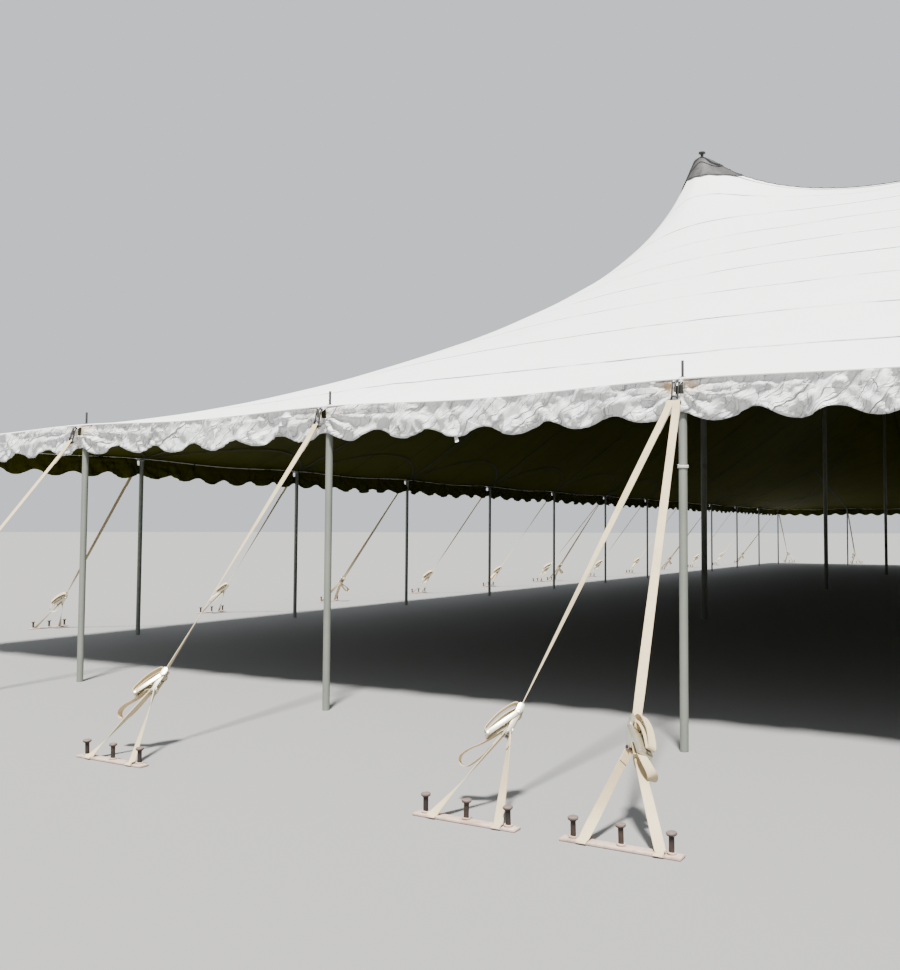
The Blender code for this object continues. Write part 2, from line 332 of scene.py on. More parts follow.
def makeCreaseGroup():  # crumpled coated cloth: long facets, each tilted its own way
    group, entry, leave = startGroup("creases", [("Coordinates", None), ("Size", 9.0),
                                                 ("Stretch", (1.0, 1.0, 1.0)), ("Softness", 0.35)],
                                     ["Height", "Lines"])
    warp = addNode(group, "ShaderNodeTexNoise", {"Vector": entry[0], "Scale": 4.0, "Detail": 3.0})
    moved = doVector(group, "MULTIPLY", {0: warp.outputs[1], 1: (0.045, 0.045, 0.045)})
    shifted = doVector(group, "ADD", {0: entry[0], 1: moved})
    drawn = doVector(group, "MULTIPLY", {0: shifted, 1: entry[2]})
    total = None
    for share, finer in ((1.0, 1.0), (0.45, 2.3)):
        sized = doVector(group, "SCALE", {0: drawn, "Scale": times(group, entry[1], finer)})
        cells = addNode(group, "ShaderNodeTexVoronoi", {"Vector": sized, "Scale": 1.0,
                                                       "Smoothness": entry[3]}, feature="SMOOTH_F1").outputs
        away = doVector(group, "SUBTRACT", {0: sized, 1: cells["Position"]})
        tilt = doVector(group, "SUBTRACT", {0: cells["Color"], 1: (0.5, 0.5, 0.5)})
        part = times(group, doVector(group, "DOT_PRODUCT", {0: away, 1: tilt}, "Value"), share)
        total = part if total is None else plus(group, total, part)
    return giveOut(group, leave, total, plus(group, times(group, total, 1.4), 0.5, clamp=True))


def makeSeamGroup():  # welded seams at equal steps along one axis, broken up like a weathered weld
    group, entry, leave = startGroup("seams", [("Coordinates", None), ("Along", 0.0), ("Pitch", 0.762),
                                               ("Width", 0.004)], ["Line", "Lap"])
    wave = doMath(group, "PINGPONG", entry[1], times(group, entry[2], 0.5))
    breaks = addNode(group, "ShaderNodeTexNoise", {"Vector": entry[0], "Scale": 1.7, "Detail": 4.0,
                                                   "Roughness": 0.7})
    onSeam = doMath(group, "LESS_THAN", wave, entry[3])
    line = times(group, onSeam, rampOf(group, breaks.outputs[0], 0.36, 0.60))
    return giveOut(group, leave, line, doMath(group, "LESS_THAN", wave, 0.014))


def makeWeaveGroup():  # webbing: slanting ribs across, from the strip's own map in metres
    group, entry, leave = startGroup("weave", [("Map", None), ("Threads", 900.0)], ["Height", "Tint"])
    split = splitAxes(group, entry[0])
    folded = doMath(group, "PINGPONG", split[0], 0.0064)  # the ribs turn back three times across
    slanted = plus(group, split[1], times(group, folded, 0.9))
    ribs = doMath(group, "SINE", times(group, slanted, entry[1]))
    cords = doMath(group, "SINE", times(group, split[0], 1900.0))
    height = plus(group, times(group, ribs, 0.35), times(group, cords, 0.15))
    return giveOut(group, leave, height, plus(group, times(group, height, 0.5), 0.5))


patches = makePatchesGroup()
creases = makeCreaseGroup()
seams = makeSeamGroup()
weave = makeWeaveGroup()


def fillGroup(tree, group, values):
    return addNode(tree, "ShaderNodeGroup", values, node_tree=group).outputs


def blotches(tree, place, size, cover, edge):
    return fillGroup(tree, patches, {"Coordinates": place, "Size": size, "Cover": cover, "Edge": edge})


def foldsOn(tree, place, size, stretch=(1.0, 1.0, 1.0), softness=0.35):
    return fillGroup(tree, creases, {"Coordinates": place, "Size": size, "Stretch": stretch,
                                     "Softness": softness})


def seamsOn(tree, place, width):
    along = plus(tree, splitAxes(tree, place)[1], tent["seamShift"])
    return fillGroup(tree, seams, {"Coordinates": place, "Along": along, "Pitch": tent["seamPitch"],
                                   "Width": width})


def startMaterial(name, colour, roughness, metallic=0.0):
    material = bpy.data.materials.new(name)
    material.use_nodes = True
    tree = material.node_tree
    shader = tree.nodes["Principled BSDF"]
    shader.inputs["Base Color"].default_value = (*colour, 1.0)
    shader.inputs["Roughness"].default_value = roughness
    shader.inputs["Metallic"].default_value = metallic
    place = tree.nodes.new("ShaderNodeTexCoord").outputs["Object"]
    return material, tree, shader, place


def drive(tree, shader, **values):  # BaseColor drives the input called Base Color
    for key, value in values.items():
        tree.links.new(value, shader.inputs["Base Color" if key == "BaseColor" else key])


def addBump(tree, shader, height, strength, distance):
    bump = addNode(tree, "ShaderNodeBump", {"Height": height, "Strength": strength, "Distance": distance})
    drive(tree, shader, Normal=bump.outputs[0])


print("shader groups ready")


# Finishes

def makeRoofTop():
    material, tree, shader, place = startMaterial("whiteRoofVinyl", (0.90, 0.90, 0.885), 0.46)
    seam = seamsOn(tree, place, 0.0085)
    soil = blotches(tree, place, 0.55, 0.36, 0.5)
    spots = blotches(tree, place, 4.5, 0.06, 0.05)
    clean = tint(tree, soil[0], 0.5, (0.92, 0.92, 0.905), (0.86, 0.86, 0.84))
    lapped = tint(tree, seam[1], 0.25, clean, (0.80, 0.80, 0.79))
    lined = tint(tree, seam[0], 0.95, lapped, (0.035, 0.037, 0.055))
    marked = tint(tree, spots[0], 0.5, lined, (0.44, 0.34, 0.25))
    drive(tree, shader, BaseColor=marked, Roughness=plus(tree, times(tree, soil[1], 0.20), 0.36))
    height = plus(tree, times(tree, foldsOn(tree, place, 2.4)[0], 0.6), times(tree, seam[1], 0.25))
    addBump(tree, shader, height, 0.30, 0.006)
    return material


def makeRoofUnder():
    material, tree, shader, place = startMaterial("oliveRoofUnderside", (0.16, 0.165, 0.002), 0.7)
    seam = seamsOn(tree, place, 0.012)
    cloud = blotches(tree, place, 0.7, 0.5, 0.6)
    stain = blotches(tree, place, 2.6, 0.24, 0.2)
    base = mixColour(tree, cloud[0], (0.044, 0.047, 0.0005), (0.080, 0.084, 0.001))
    soiled = tint(tree, stain[0], 0.4, base, (0.024, 0.023, 0.001))
    drive(tree, shader, BaseColor=tint(tree, seam[1], 0.5, soiled, (0.040, 0.040, 0.001)))
    shader.inputs["Specular IOR Level"].default_value = 0.03
    addBump(tree, shader, foldsOn(tree, place, 2.4)[0], 0.25, 0.006)
    return material


def distanceToPole(tree, place):  # metres along the eave to the nearest side pole, and the height
    split = splitAxes(tree, place)
    steps = [doMath(tree, "PINGPONG", split[axis], tent["bay"] / 2) for axis in (0, 1)]
    onLongSide = doMath(tree, "GREATER_THAN", doMath(tree, "ABSOLUTE", split[0]), tent["edgeX"] - 0.02)
    nearest = addNode(tree, "ShaderNodeMix", {0: onLongSide, 2: steps[0], 3: steps[1]}, data_type="FLOAT")
    return nearest.outputs[0], split[2]


def makeSkirtCloth():
    material, tree, shader, place = startMaterial("wrinkledValanceVinyl", (0.83, 0.83, 0.81), 0.48)
    soil = blotches(tree, place, 3.2, 0.38, 0.35)
    grime = blotches(tree, place, 11.0, 0.22, 0.12)
    turned = addNode(tree, "ShaderNodeMapping", {"Vector": place, "Rotation": (0.62, 0.62, 0.0)}).outputs[0]
    fold = foldsOn(tree, turned, 12.0, (0.8, 0.8, 2.6), 0.05)
    nearPole, height = distanceToPole(tree, place)
    ring = rampOf(tree, nearPole, 0.13, 0.02)
    belowEave = rampOf(tree, height, tent["eave"] - 0.075, tent["eave"] - 0.02)
    rustMask = times(tree, times(tree, ring, belowEave), blotches(tree, place, 16.0, 0.56, 0.2)[0])
    base = tint(tree, soil[0], 0.55, (0.84, 0.84, 0.83), (0.70, 0.70, 0.69))
    grimy = tint(tree, grime[0], 0.30, base, (0.50, 0.49, 0.46))
    # painted shade: the low-tilted facets of the crumples and their crease lines are tinted a blue-grey
    # shade colour
    lined = tint(tree, minus(tree, 1.0, fold[1]), 0.42, grimy, (0.50, 0.51, 0.52))
    rusty = tint(tree, rustMask, 0.9, lined, (0.54, 0.31, 0.05))
    rows = splitAxes(tree, ownMap(tree))[1]
    stitch = doMath(tree, "LESS_THAN", doMath(tree, "ABSOLUTE", minus(tree, rows, 0.93)), 0.008)
    hemmed = tint(tree, stitch, 0.30, rusty, (0.45, 0.45, 0.45))
    # painted shadow: a near-black band along the valance's top edge beside each side pole stands in for the
    # shaded gap under the eave
    gapShadow = doMath(tree, "LESS_THAN", rows, times(tree, rampOf(tree, nearPole, 0.17, 0.02), 0.045))
    drive(tree, shader, BaseColor=tint(tree, gapShadow, 0.9, hemmed, (0.03, 0.03, 0.03)),
          Roughness=plus(tree, times(tree, soil[1], 0.25), 0.36))
    long = foldsOn(tree, turned, 4.2, (0.7, 0.7, 3.4), 0.16)
    addBump(tree, shader, plus(tree, fold[0], times(tree, long[0], 1.6)), 1.0, 0.022)
    return material


def makeWebbing(name, colour, darker, dirt, sheen=0.15):
    material, tree, shader, place = startMaterial(name, colour, 0.72)
    strip = ownMap(tree)
    cloth = fillGroup(tree, weave, {"Map": strip, "Threads": 900.0})
    fromMiddle = doMath(tree, "ABSOLUTE", minus(tree, splitAxes(tree, strip)[0], 0.01275))
    edge = rampOf(tree, fromMiddle, 0.0100, 0.0125)
    ribbed = tint(tree, cloth[1], 0.35, colour, darker)
    edged = tint(tree, edge, 0.35, ribbed, darker)
    worn = tint(tree, blotches(tree, place, 6.0, dirt, 0.3)[0], 0.5, edged, dimmed(darker, 0.62))
    drive(tree, shader, BaseColor=worn)
    addBump(tree, shader, cloth[0], 0.5, 0.0004)
    shader.inputs["Sheen Weight"].default_value = sheen
    return material


def makeMetal(name, colour, second, roughness, metallic, patchSize, cover, stain, stainCover):
    material, tree, shader, place = startMaterial(name, colour, roughness, metallic)
    tone = blotches(tree, place, patchSize, cover, 0.35)
    spoiled = blotches(tree, place, patchSize * 2.3, stainCover, 0.12)[0]
    long = addNode(tree, "ShaderNodeMapping", {"Vector": place, "Scale": (60.0, 60.0, 2.0)})
    streak = addNode(tree, "ShaderNodeTexNoise", {"Vector": long.outputs[0], "Scale": 3.0, "Detail": 4.0})
    base = mixColour(tree, tone[0], colour, second)
    scored = tint(tree, streak.outputs[0], 0.15, base, dimmed(colour, 0.55))
    rough = plus(tree, times(tree, tone[1], 0.25), roughness - 0.12)
    drive(tree, shader, BaseColor=mixColour(tree, spoiled, scored, stain),
          Roughness=plus(tree, rough, times(tree, spoiled, 0.30), clamp=True),
          Metallic=minus(tree, metallic, times(tree, spoiled, metallic * 0.8), clamp=True))
    addBump(tree, shader, tone[1], 0.25, 0.0008)
    return material


def makeStakeIron():
    material, tree, shader, place = startMaterial("drivenStakeIron", (0.05, 0.032, 0.024), 0.72, 0.25)
    crust = blotches(tree, place, 45.0, 0.48, 0.25)
    height = splitAxes(tree, place)[2]
    struck = rampOf(tree, height, 0.0475, 0.0520)
    mud = rampOf(tree, height, 0.014, 0.002)
    base = mixColour(tree, crust[0], (0.014, 0.010, 0.009), (0.050, 0.028, 0.018))
    topped = tint(tree, struck, 0.9, base, (0.17, 0.125, 0.110))
    drive(tree, shader, BaseColor=tint(tree, mud, 0.6, topped, (0.16, 0.12, 0.075)))
    addBump(tree, shader, crust[1], 0.6, 0.0012)
    return material


def makeBarRust():
    material, tree, shader, place = startMaterial("rustyGroundBar", (0.42, 0.27, 0.20), 0.78, 0.1)
    crust = blotches(tree, place, 26.0, 0.5, 0.3)
    deep = blotches(tree, place, 60.0, 0.3, 0.15)
    base = mixColour(tree, crust[0], (0.52, 0.41, 0.34), (0.36, 0.245, 0.18))
    drive(tree, shader, BaseColor=tint(tree, deep[0], 0.7, base, (0.14, 0.075, 0.045)))
    addBump(tree, shader, crust[1], 0.6, 0.0012)
    return material


def makeHoodCloth():
    material, tree, shader, place = startMaterial("greyHoodVinyl", (0.36, 0.36, 0.37), 0.6)
    mottle = blotches(tree, place, 9.0, 0.5, 0.3)
    mildew = blotches(tree, place, 26.0, 0.36, 0.12)
    base = mixColour(tree, mottle[0], (0.044, 0.043, 0.041), (0.016, 0.016, 0.017))
    drive(tree, shader, BaseColor=tint(tree, mildew[0], 0.8, base, (0.008, 0.008, 0.008)))
    addBump(tree, shader, foldsOn(tree, place, 12.0)[0], 0.5, 0.006)
    return material


def makeRope(name, colour, darker):
    material, tree, shader, place = startMaterial(name, colour, 0.85)
    twist = addNode(tree, "ShaderNodeTexWave", {"Vector": place, "Scale": 60.0, "Distortion": 1.5,
                                                "Detail": 2.0}, bands_direction="DIAGONAL").outputs[1]
    soil = blotches(tree, place, 12.0, 0.4, 0.3)
    laid = mixColour(tree, twist, colour, darker)
    drive(tree, shader, BaseColor=tint(tree, soil[0], 0.4, laid, dimmed(darker, 0.6)))
    addBump(tree, shader, twist, 0.5, 0.0012)
    return material


metals = {  # name, colour, second colour, roughness, metallic, patch size, cover, stain, stain cover
    "pole": ("galvanisedPoleSteel", (0.225, 0.243, 0.205), (0.175, 0.193, 0.163), 0.52, 0.40, 5.0, 0.5,
             (0.28, 0.25, 0.19), 0.10),
    "mast": ("weatheredMastSteel", (0.105, 0.110, 0.085), (0.145, 0.15, 0.125), 0.55, 0.45, 4.0, 0.45,
             (0.055, 0.045, 0.03), 0.24),
    "pin": ("blackenedPinSteel", (0.006, 0.006, 0.007), (0.012, 0.012, 0.013), 0.62, 0.1, 30.0, 0.4,
            (0.07, 0.035, 0.018), 0.14),
    "hook": ("greyHookSteel", (0.045, 0.046, 0.048), (0.025, 0.026, 0.028), 0.50, 0.5, 40.0, 0.5,
             (0.15, 0.07, 0.03), 0.16),
    "zinc": ("yellowZincSteel", (0.72, 0.68, 0.55), (0.60, 0.53, 0.36), 0.34, 0.85, 40.0, 0.5,
             (0.30, 0.15, 0.06), 0.16),
    "cap": ("mushroomCapIron", (0.012, 0.013, 0.013), (0.028, 0.028, 0.026), 0.55, 0.3, 20.0, 0.4,
            (0.09, 0.05, 0.03), 0.2),
}
finish = {
    "roofTop": makeRoofTop(),
    "roofUnder": makeRoofUnder(),
    "skirt": makeSkirtCloth(),
    "webbing": makeWebbing("creamGuyWebbing", (0.58, 0.474, 0.285), (0.38, 0.295, 0.165), 0.34),
    "darkWebbing": makeWebbing("darkRibWebbing", (0.014, 0.014, 0.006), (0.008, 0.008, 0.004), 0.40, 0.0),
    "tape": makeWebbing("whiteLoopTape", (0.72, 0.71, 0.68), (0.50, 0.49, 0.45), 0.25),
    "stake": makeStakeIron(),
    "bar": makeBarRust(),
    "hood": makeHoodCloth(),
    "rope": makeRope("blackLacingRope", (0.012, 0.012, 0.012), (0.005, 0.005, 0.005)),
}
finish.update({label: makeMetal(*values) for label, values in metals.items()})
print("finishes ready:", len(finish))


# Roof cloth: a net pulled level round the eave and up at the six main poles
roof = {
    "rim": 0.06,             # band along the eave that lies on the side poles
    "patch": 0.05,           # half side of the patch over a main pole
    "acrossPull": 0.37,      # pull of the cloth across the tent, against 1 along it
    "stiffReach": 0.062,     # reach of the stiffer cloth round a peak
    "ridgePull": 1.06,       # webbing between the peaks, across the tent
    "sag": 0.016,            # dip of the eave between two side poles
    "cloth": 0.0018,
    "poleCrease": 0.005,     # folds that spread from each side pole
    "peakCrease": 0.010,
    "coneSlope": 0.43,       # of the cloth round a stem
    "coneReach": 0.10,
    "cells": (0.017, 0.082, 0.13),  # finest, widest and how fast they grow away from the poles
    "solverSteps": 2500,
    "waves": 26,             # slight waves left in a stretched cloth
    "waveHeight": 0.0006,
    "lip": 0.004,            # turn down of the cloth's edge
}
mainPlaces = [(x, y) for x in linesX.values() for y in rowsY.values()]
speck = 1e-6                 # keeps comparisons of places clear of rounding


def gradedLines(stations, anchors, nearest, widest, growth):  # closer together near the anchors
    lines = [stations[0]]
    for low, high in zip(stations, stations[1:]):
        probe = np.linspace(low, high, 300)
        away = np.min([np.abs(probe - anchor) for anchor in anchors], axis=0)
        density = 1 / np.clip(nearest + growth * away, nearest, widest)
        travelled = np.concatenate([[0], np.cumsum((density[1:] + density[:-1]) / 2 * np.diff(probe))])
        count = max(1, int(round(travelled[-1])))
        lines += list(np.interp(np.arange(1, count + 1) / count * travelled[-1], travelled, probe))
    return np.array(lines)


def eaveDip(along):  # the eave hangs a little between side poles
    return roof["sag"] * np.sin(np.pi * along / tent["bay"]) ** 2


def addLinks(total, acrossLinks, alongLinks, sign):  # to the nodes at both ends of each link
    total[:, :-1] += acrossLinks
    total[:, 1:] += sign * acrossLinks
    total[:-1] += alongLinks
    total[1:] += sign * alongLinks
    return total


def stretchedNet(xs, ys):  # conjugate gradients over a quarter of the roof
    row, mainX = tent["rowY"], tent["mainX"]
    wide, deep = np.meshgrid(xs, ys)
    cellX, cellY = np.gradient(xs), np.gradient(ys)
    cellX[0], cellY[0] = cellX[0] / 2, cellY[0] / 2

    def stiffness(x, y, plain):
        nearest = np.minimum(np.hypot(x - mainX, y), np.hypot(x - mainX, y - row))
        return plain + roof["stiffReach"] / np.maximum(nearest, roof["patch"])

    middleX, middleY = (xs[1:] + xs[:-1]) / 2, (ys[1:] + ys[:-1]) / 2
    linkX = stiffness(*np.meshgrid(middleX, ys), roof["acrossPull"]) * cellY[:, None]
    for line, share in ((0.0, 0.5), (row, 1.0)):
        pull = np.where(middleX < mainX, roof["ridgePull"], 0.0)
        linkX[int(np.argmin(np.abs(ys - line)))] += pull * share
    linkX /= np.diff(xs)[None, :]
    linkY = stiffness(*np.meshgrid(xs, middleY), 1.0) * cellX[None, :]
    linkY /= np.diff(ys)[:, None]

    onSide = wide > tent["edgeX"] - roof["rim"] - speck
    onEnd = deep > tent["edgeY"] - roof["rim"] - speck
    onPatch = np.zeros(wide.shape, bool)
    for line in (0.0, row):
        onPatch |= np.maximum(np.abs(wide - mainX), np.abs(deep - line)) < roof["patch"] + speck
    height = np.full(wide.shape, tent["eave"] + 0.5)
    height[onSide] = (tent["eave"] - eaveDip(deep))[onSide]
    height[onEnd] = (tent["eave"] - eaveDip(wide))[onEnd]
    height[onSide & onEnd] = tent["eave"]
    height[onPatch] = tent["peak"]
    free = ~(onSide | onEnd | onPatch)

    def pulled(h):
        flows = np.diff(h, axis=1) * linkX, np.diff(h, axis=0) * linkY
        return np.where(free, addLinks(np.zeros_like(h), *flows, -1), 0.0)

    weight = addLinks(np.zeros_like(height), linkX, linkY, 1)
    left = pulled(height)
    eased = left / weight
    step = eased.copy()
    size = float((left * eased).sum())
    for _ in range(roof["solverSteps"]):
        away = -pulled(step)
        share = size / max(float((step * away).sum()), 1e-30)
        height += share * step
        left -= share * away
        eased = left / weight
        fresh = float((left * eased).sum())
        if fresh < 1e-12:
            break
        step = eased + fresh / size * step
        size = fresh
    return height


def mirrored(quarterLine):
    return np.concatenate([-quarterLine[:0:-1], quarterLine])


def layNet():  # the quarter, its mirror images and the cones round the stems
    patch, rim, mainX, row = roof["patch"], roof["rim"], tent["mainX"], tent["rowY"]
    stationsX = [0.0, mainX - patch, mainX, mainX + patch, tent["edgeX"] - rim, tent["halfWide"],
                 tent["edgeX"]]
    stationsY = [0.0, patch, row - patch, row, row + patch, tent["edgeY"] - rim, tent["halfLong"],
                 tent["edgeY"]]
    xs = gradedLines(stationsX, [mainX, tent["edgeX"]], *roof["cells"])
    ys = gradedLines(stationsY, [0.0, row, tent["edgeY"]], *roof["cells"])
    heights = stretchedNet(xs, ys)
    heights = np.concatenate([heights[:0:-1], heights], axis=0)
    heights = np.concatenate([heights[:, :0:-1], heights], axis=1)
    xs, ys = mirrored(xs), mirrored(ys)
    for x, y in mainPlaces:
        away = np.hypot(xs[None, :] - x, ys[:, None] - y)
        cone = tent["peak"] - roof["coneSlope"] * away
        heights = np.where(away < roof["coneReach"], np.minimum(heights, cone), heights)
    return xs, ys, heights


roofX, roofY, roofHeights = layNet()
print("roof net:", len(roofX), "by", len(roofY))


def cellOf(lines, value):  # the cell that a place lies in and how far along it
    value = np.clip(np.asarray(value, float), lines[0], lines[-1])
    i = np.clip(np.searchsorted(lines, value) - 1, 0, len(lines) - 2)
    return i, (value - lines[i]) / (lines[i + 1] - lines[i])


def roofAt(x, y):  # height of the roof's top at a point or points
    (i, a), (j, b) = cellOf(roofX, x), cellOf(roofY, y)
    low = (1 - a) * roofHeights[j, i] + a * roofHeights[j, i + 1]
    high = (1 - a) * roofHeights[j + 1, i] + a * roofHeights[j + 1, i + 1]
    return (1 - b) * low + b * high


def linkPiece(name, mesh):
    piece = bpy.data.objects.new(name, mesh)
    bpy.context.collection.objects.link(piece)
    return piece


def meshFromGrid(name, points, mapping, materials):  # points is rows by columns by 3
    rows, columns = points.shape[:2]
    index = np.arange(rows * columns).reshape(rows, columns)
    quads = np.stack([index[:-1, :-1], index[:-1, 1:], index[1:, 1:], index[1:, :-1]], -1).reshape(-1, 4)
    mesh = bpy.data.meshes.new(name)
    mesh.from_pydata(points.reshape(-1, 3).tolist(), [], quads.tolist())
    layer = mesh.uv_layers.new(name="clothMap")
    layer.data.foreach_set("uv", mapping.reshape(-1, 2)[quads.ravel()].astype(np.float32).ravel())
    for material in materials:
        mesh.materials.append(material)
    return linkPiece(name, mesh)


def makeRoof():
    wide, deep = np.meshgrid(roofX, roofY)
    height = roofHeights.copy()
    generator = np.random.default_rng(11)

    def around(x, y):  # distance and bearing of the net's points
        return np.hypot(wide - x, deep - y), np.arctan2(deep - y, wide - x)

    def inFromEdge(start, reach):  # 0 near the roof's edge, 1 further in
        return (np.clip((tent["edgeX"] - start - np.abs(wide)) / reach, 0, 1)
                * np.clip((tent["edgeY"] - start - np.abs(deep)) / reach, 0, 1))

    for x, y, *_ in sidePoles:
        out, turn = around(x, y)
        folds = int(generator.integers(9, 14))
        fade = np.clip(out / 0.10, 0, 1) * np.exp(-out / 0.30) * roof["poleCrease"]
        height += fade * inFromEdge(0.03, 0.12) * np.cos(folds * turn + generator.uniform(0, 6.28))
    for x, y in mainPlaces:
        out, turn = around(x, y)
        fade = np.clip((out - 0.06) / 0.15, 0, 1) * np.exp(-out / 0.35)
        height += roof["peakCrease"] * fade * np.cos(12 * turn + generator.uniform(0, 6.28))
    slack = np.zeros_like(height)
    for _ in range(roof["waves"]):
        wave = generator.uniform(0.25, 0.9)
        heading = generator.uniform(0, math.pi)
        phase = generator.uniform(0, 6.28)
        travelled = wide * math.cos(heading) + deep * math.sin(heading)
        slack += np.sin(travelled * 2 * math.pi / wave + phase) * wave
    height += roof["waveHeight"] * slack * inFromEdge(0, 0.5)
    onLip = (np.abs(wide) > tent["edgeX"] - speck) | (np.abs(deep) > tent["edgeY"] - speck)
    height -= np.where(onLip, roof["lip"], 0.0)
    points = np.stack([wide, deep, np.minimum(height, tent["peak"])], -1)
    cloth = meshFromGrid("roofCloth", points, points[..., :2], [finish["roofTop"], finish["roofUnder"]])
    thicken(cloth, roof["cloth"], -1, material_offset=1, material_offset_rim=0)
    smoothAll(cloth)
    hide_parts("canopy")
    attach(cloth, "root")


makeRoof()


# Bands and ropes that lie on the roof or run under it

def curveThrough(points, steps=5):  # a smooth line through a few points
    points = np.asarray(points, float)
    padded = np.vstack([2 * points[0] - points[1], points, 2 * points[-1] - points[-2]])
    line = []
    for k in range(len(points) - 1):
        a, b, c, d = padded[k:k + 4]
        for t in np.linspace(0, 1, steps, endpoint=False):
            line.append(0.5 * (2 * b + (c - a) * t + (2 * a - 5 * b + 4 * c - d) * t * t
                               + (3 * b - a - 3 * c + d) * t ** 3))
    line.append(points[-1])
    return np.array(line)


def unit(rows):
    return rows / np.linalg.norm(rows, axis=1)[:, None]


def mapStrip(path, offsets, width):  # across the strip and along it, in metres
    travelled = np.concatenate([[0], np.cumsum(np.linalg.norm(np.diff(path, axis=0), axis=1))])
    return np.stack(np.broadcast_arrays(offsets[None, :] + width / 2, travelled[:, None]), -1)


def drapeBand(name, path, width, lift, columns, material, thick):  # path in plan, laid on the roof at a lift
    path = np.asarray(path, float)
    ahead = unit(np.gradient(path, axis=0))
    sideways = np.stack([-ahead[:, 1], ahead[:, 0]], -1)
    offsets = np.linspace(-0.5, 0.5, columns + 1) * width
    plan = path[:, None, :] + sideways[:, None, :] * offsets[None, :, None]
    height = roofAt(plan[..., 0], plan[..., 1]) + lift
    points = np.concatenate([plan, height[..., None]], -1)
    band = meshFromGrid(name, points, mapStrip(path, offsets, width), [material])
    thicken(band, thick)
    return smooth(band, 50)


def layRope(name, points, radius, material, closed=False, roundness=1):
    curve = bpy.data.curves.new(name, "CURVE")
    curve.dimensions = "3D"
    line = curve.splines.new("POLY")
    line.points.add(len(points) - 1)
    line.points.foreach_set("co", np.column_stack([points, np.ones(len(points))]).ravel())
    line.use_cyclic_u = closed
    curve.bevel_depth = radius
    curve.bevel_resolution = roundness
    curve.use_fill_caps = True
    pick(linkPiece(name, curve))
    bpy.ops.object.convert(target="MESH")
    return paint(smoothAll(bpy.context.object), material)


hood = {
    "drop": 0.235,           # how far the grey patch comes down from the peak
    "reach": 0.36,
    "hole": 0.015,           # round the stem
    "sectors": 64,
    "rings": 9,
    "lift": 0.0085,
    "fold": 0.0022,
    "thick": 0.0022,
    "slings": ((0.034, 0.125), (0.049, 0.125), (0.100, 0.085)),  # near the stem, and how much further out
    "ropeRadius": 0.0042,
    "ropeLift": 0.0125,
    "hemRadius": 0.0028,
    "hemLift": 0.0105,
    "hemIn": 0.006,          # from the patch's edge to its rope
}


def makeHood(name, x, y):
    turns = np.linspace(0, 2 * math.pi, hood["sectors"] + 1)
    probe = np.linspace(0.05, hood["reach"], 60)
    edge = []
    for turn in turns:
        height = roofAt(x + probe * math.cos(turn), y + probe * math.sin(turn))
        low = np.nonzero(height < tent["peak"] - hood["drop"])[0]
        edge.append(probe[low[0]] if len(low) else hood["reach"])
    edge = np.array(edge)
    edge[-1] = edge[0]
    shares = np.linspace(0, 1, hood["rings"] + 1)[:, None]
    out = hood["hole"] + shares * (edge[None, :] - hood["hole"])
    flat = np.stack([x + out * np.cos(turns), y + out * np.sin(turns)], -1)
    fold = hood["fold"] * shares * np.cos(17 * turns[None, :] + 3 * shares)
    height = roofAt(flat[..., 0], flat[..., 1]) + hood["lift"] + fold
    mapping = np.stack(np.broadcast_arrays(turns[None, :] * 0.2, out), -1)
    points = np.concatenate([flat, height[..., None]], -1)
    patch = meshFromGrid(name, points[::-1], mapping[::-1], [finish["hood"]])
    turnNormalsOut(patch, merge=0.00001)
    thicken(patch, hood["thick"])
    parts = [smooth(patch, 50)]
    fine = np.linspace(0, 2 * math.pi, 97)[:-1]

    def layRound(label, away, lift, radius):
        ropeX, ropeY = x + away * np.cos(fine), y + away * np.sin(fine)
        line = np.stack([ropeX, ropeY, roofAt(ropeX, ropeY) + lift], -1)
        parts.append(layRope(label, line, radius, finish["rope"], closed=True))

    for start, swing in hood["slings"]:  # high on the slopes, low on the ridge
        layRound("sling", start + swing * np.abs(np.sin(fine + 1.4)) ** 1.6, hood["ropeLift"],
                 hood["ropeRadius"])
    layRound("hemRope", np.interp(fine, turns, edge) - hood["hemIn"], hood["hemLift"], hood["hemRadius"])
    finishPiece(joinPieces(name, parts), "canopy_vinyl")


lacing = {
    "width": 0.105,          # flap over each joint between two roof sections
    "lift": 0.0045,
    "thick": 0.0022,
    "steps": 260,
    "loopPitch": 0.094,
    "loopLength": 0.088,
    "loopHalf": 0.013,
    "loopLift": 0.0085,
    "clear": 0.15,           # no loops this near a main pole
    "rope": 0.0034,
}


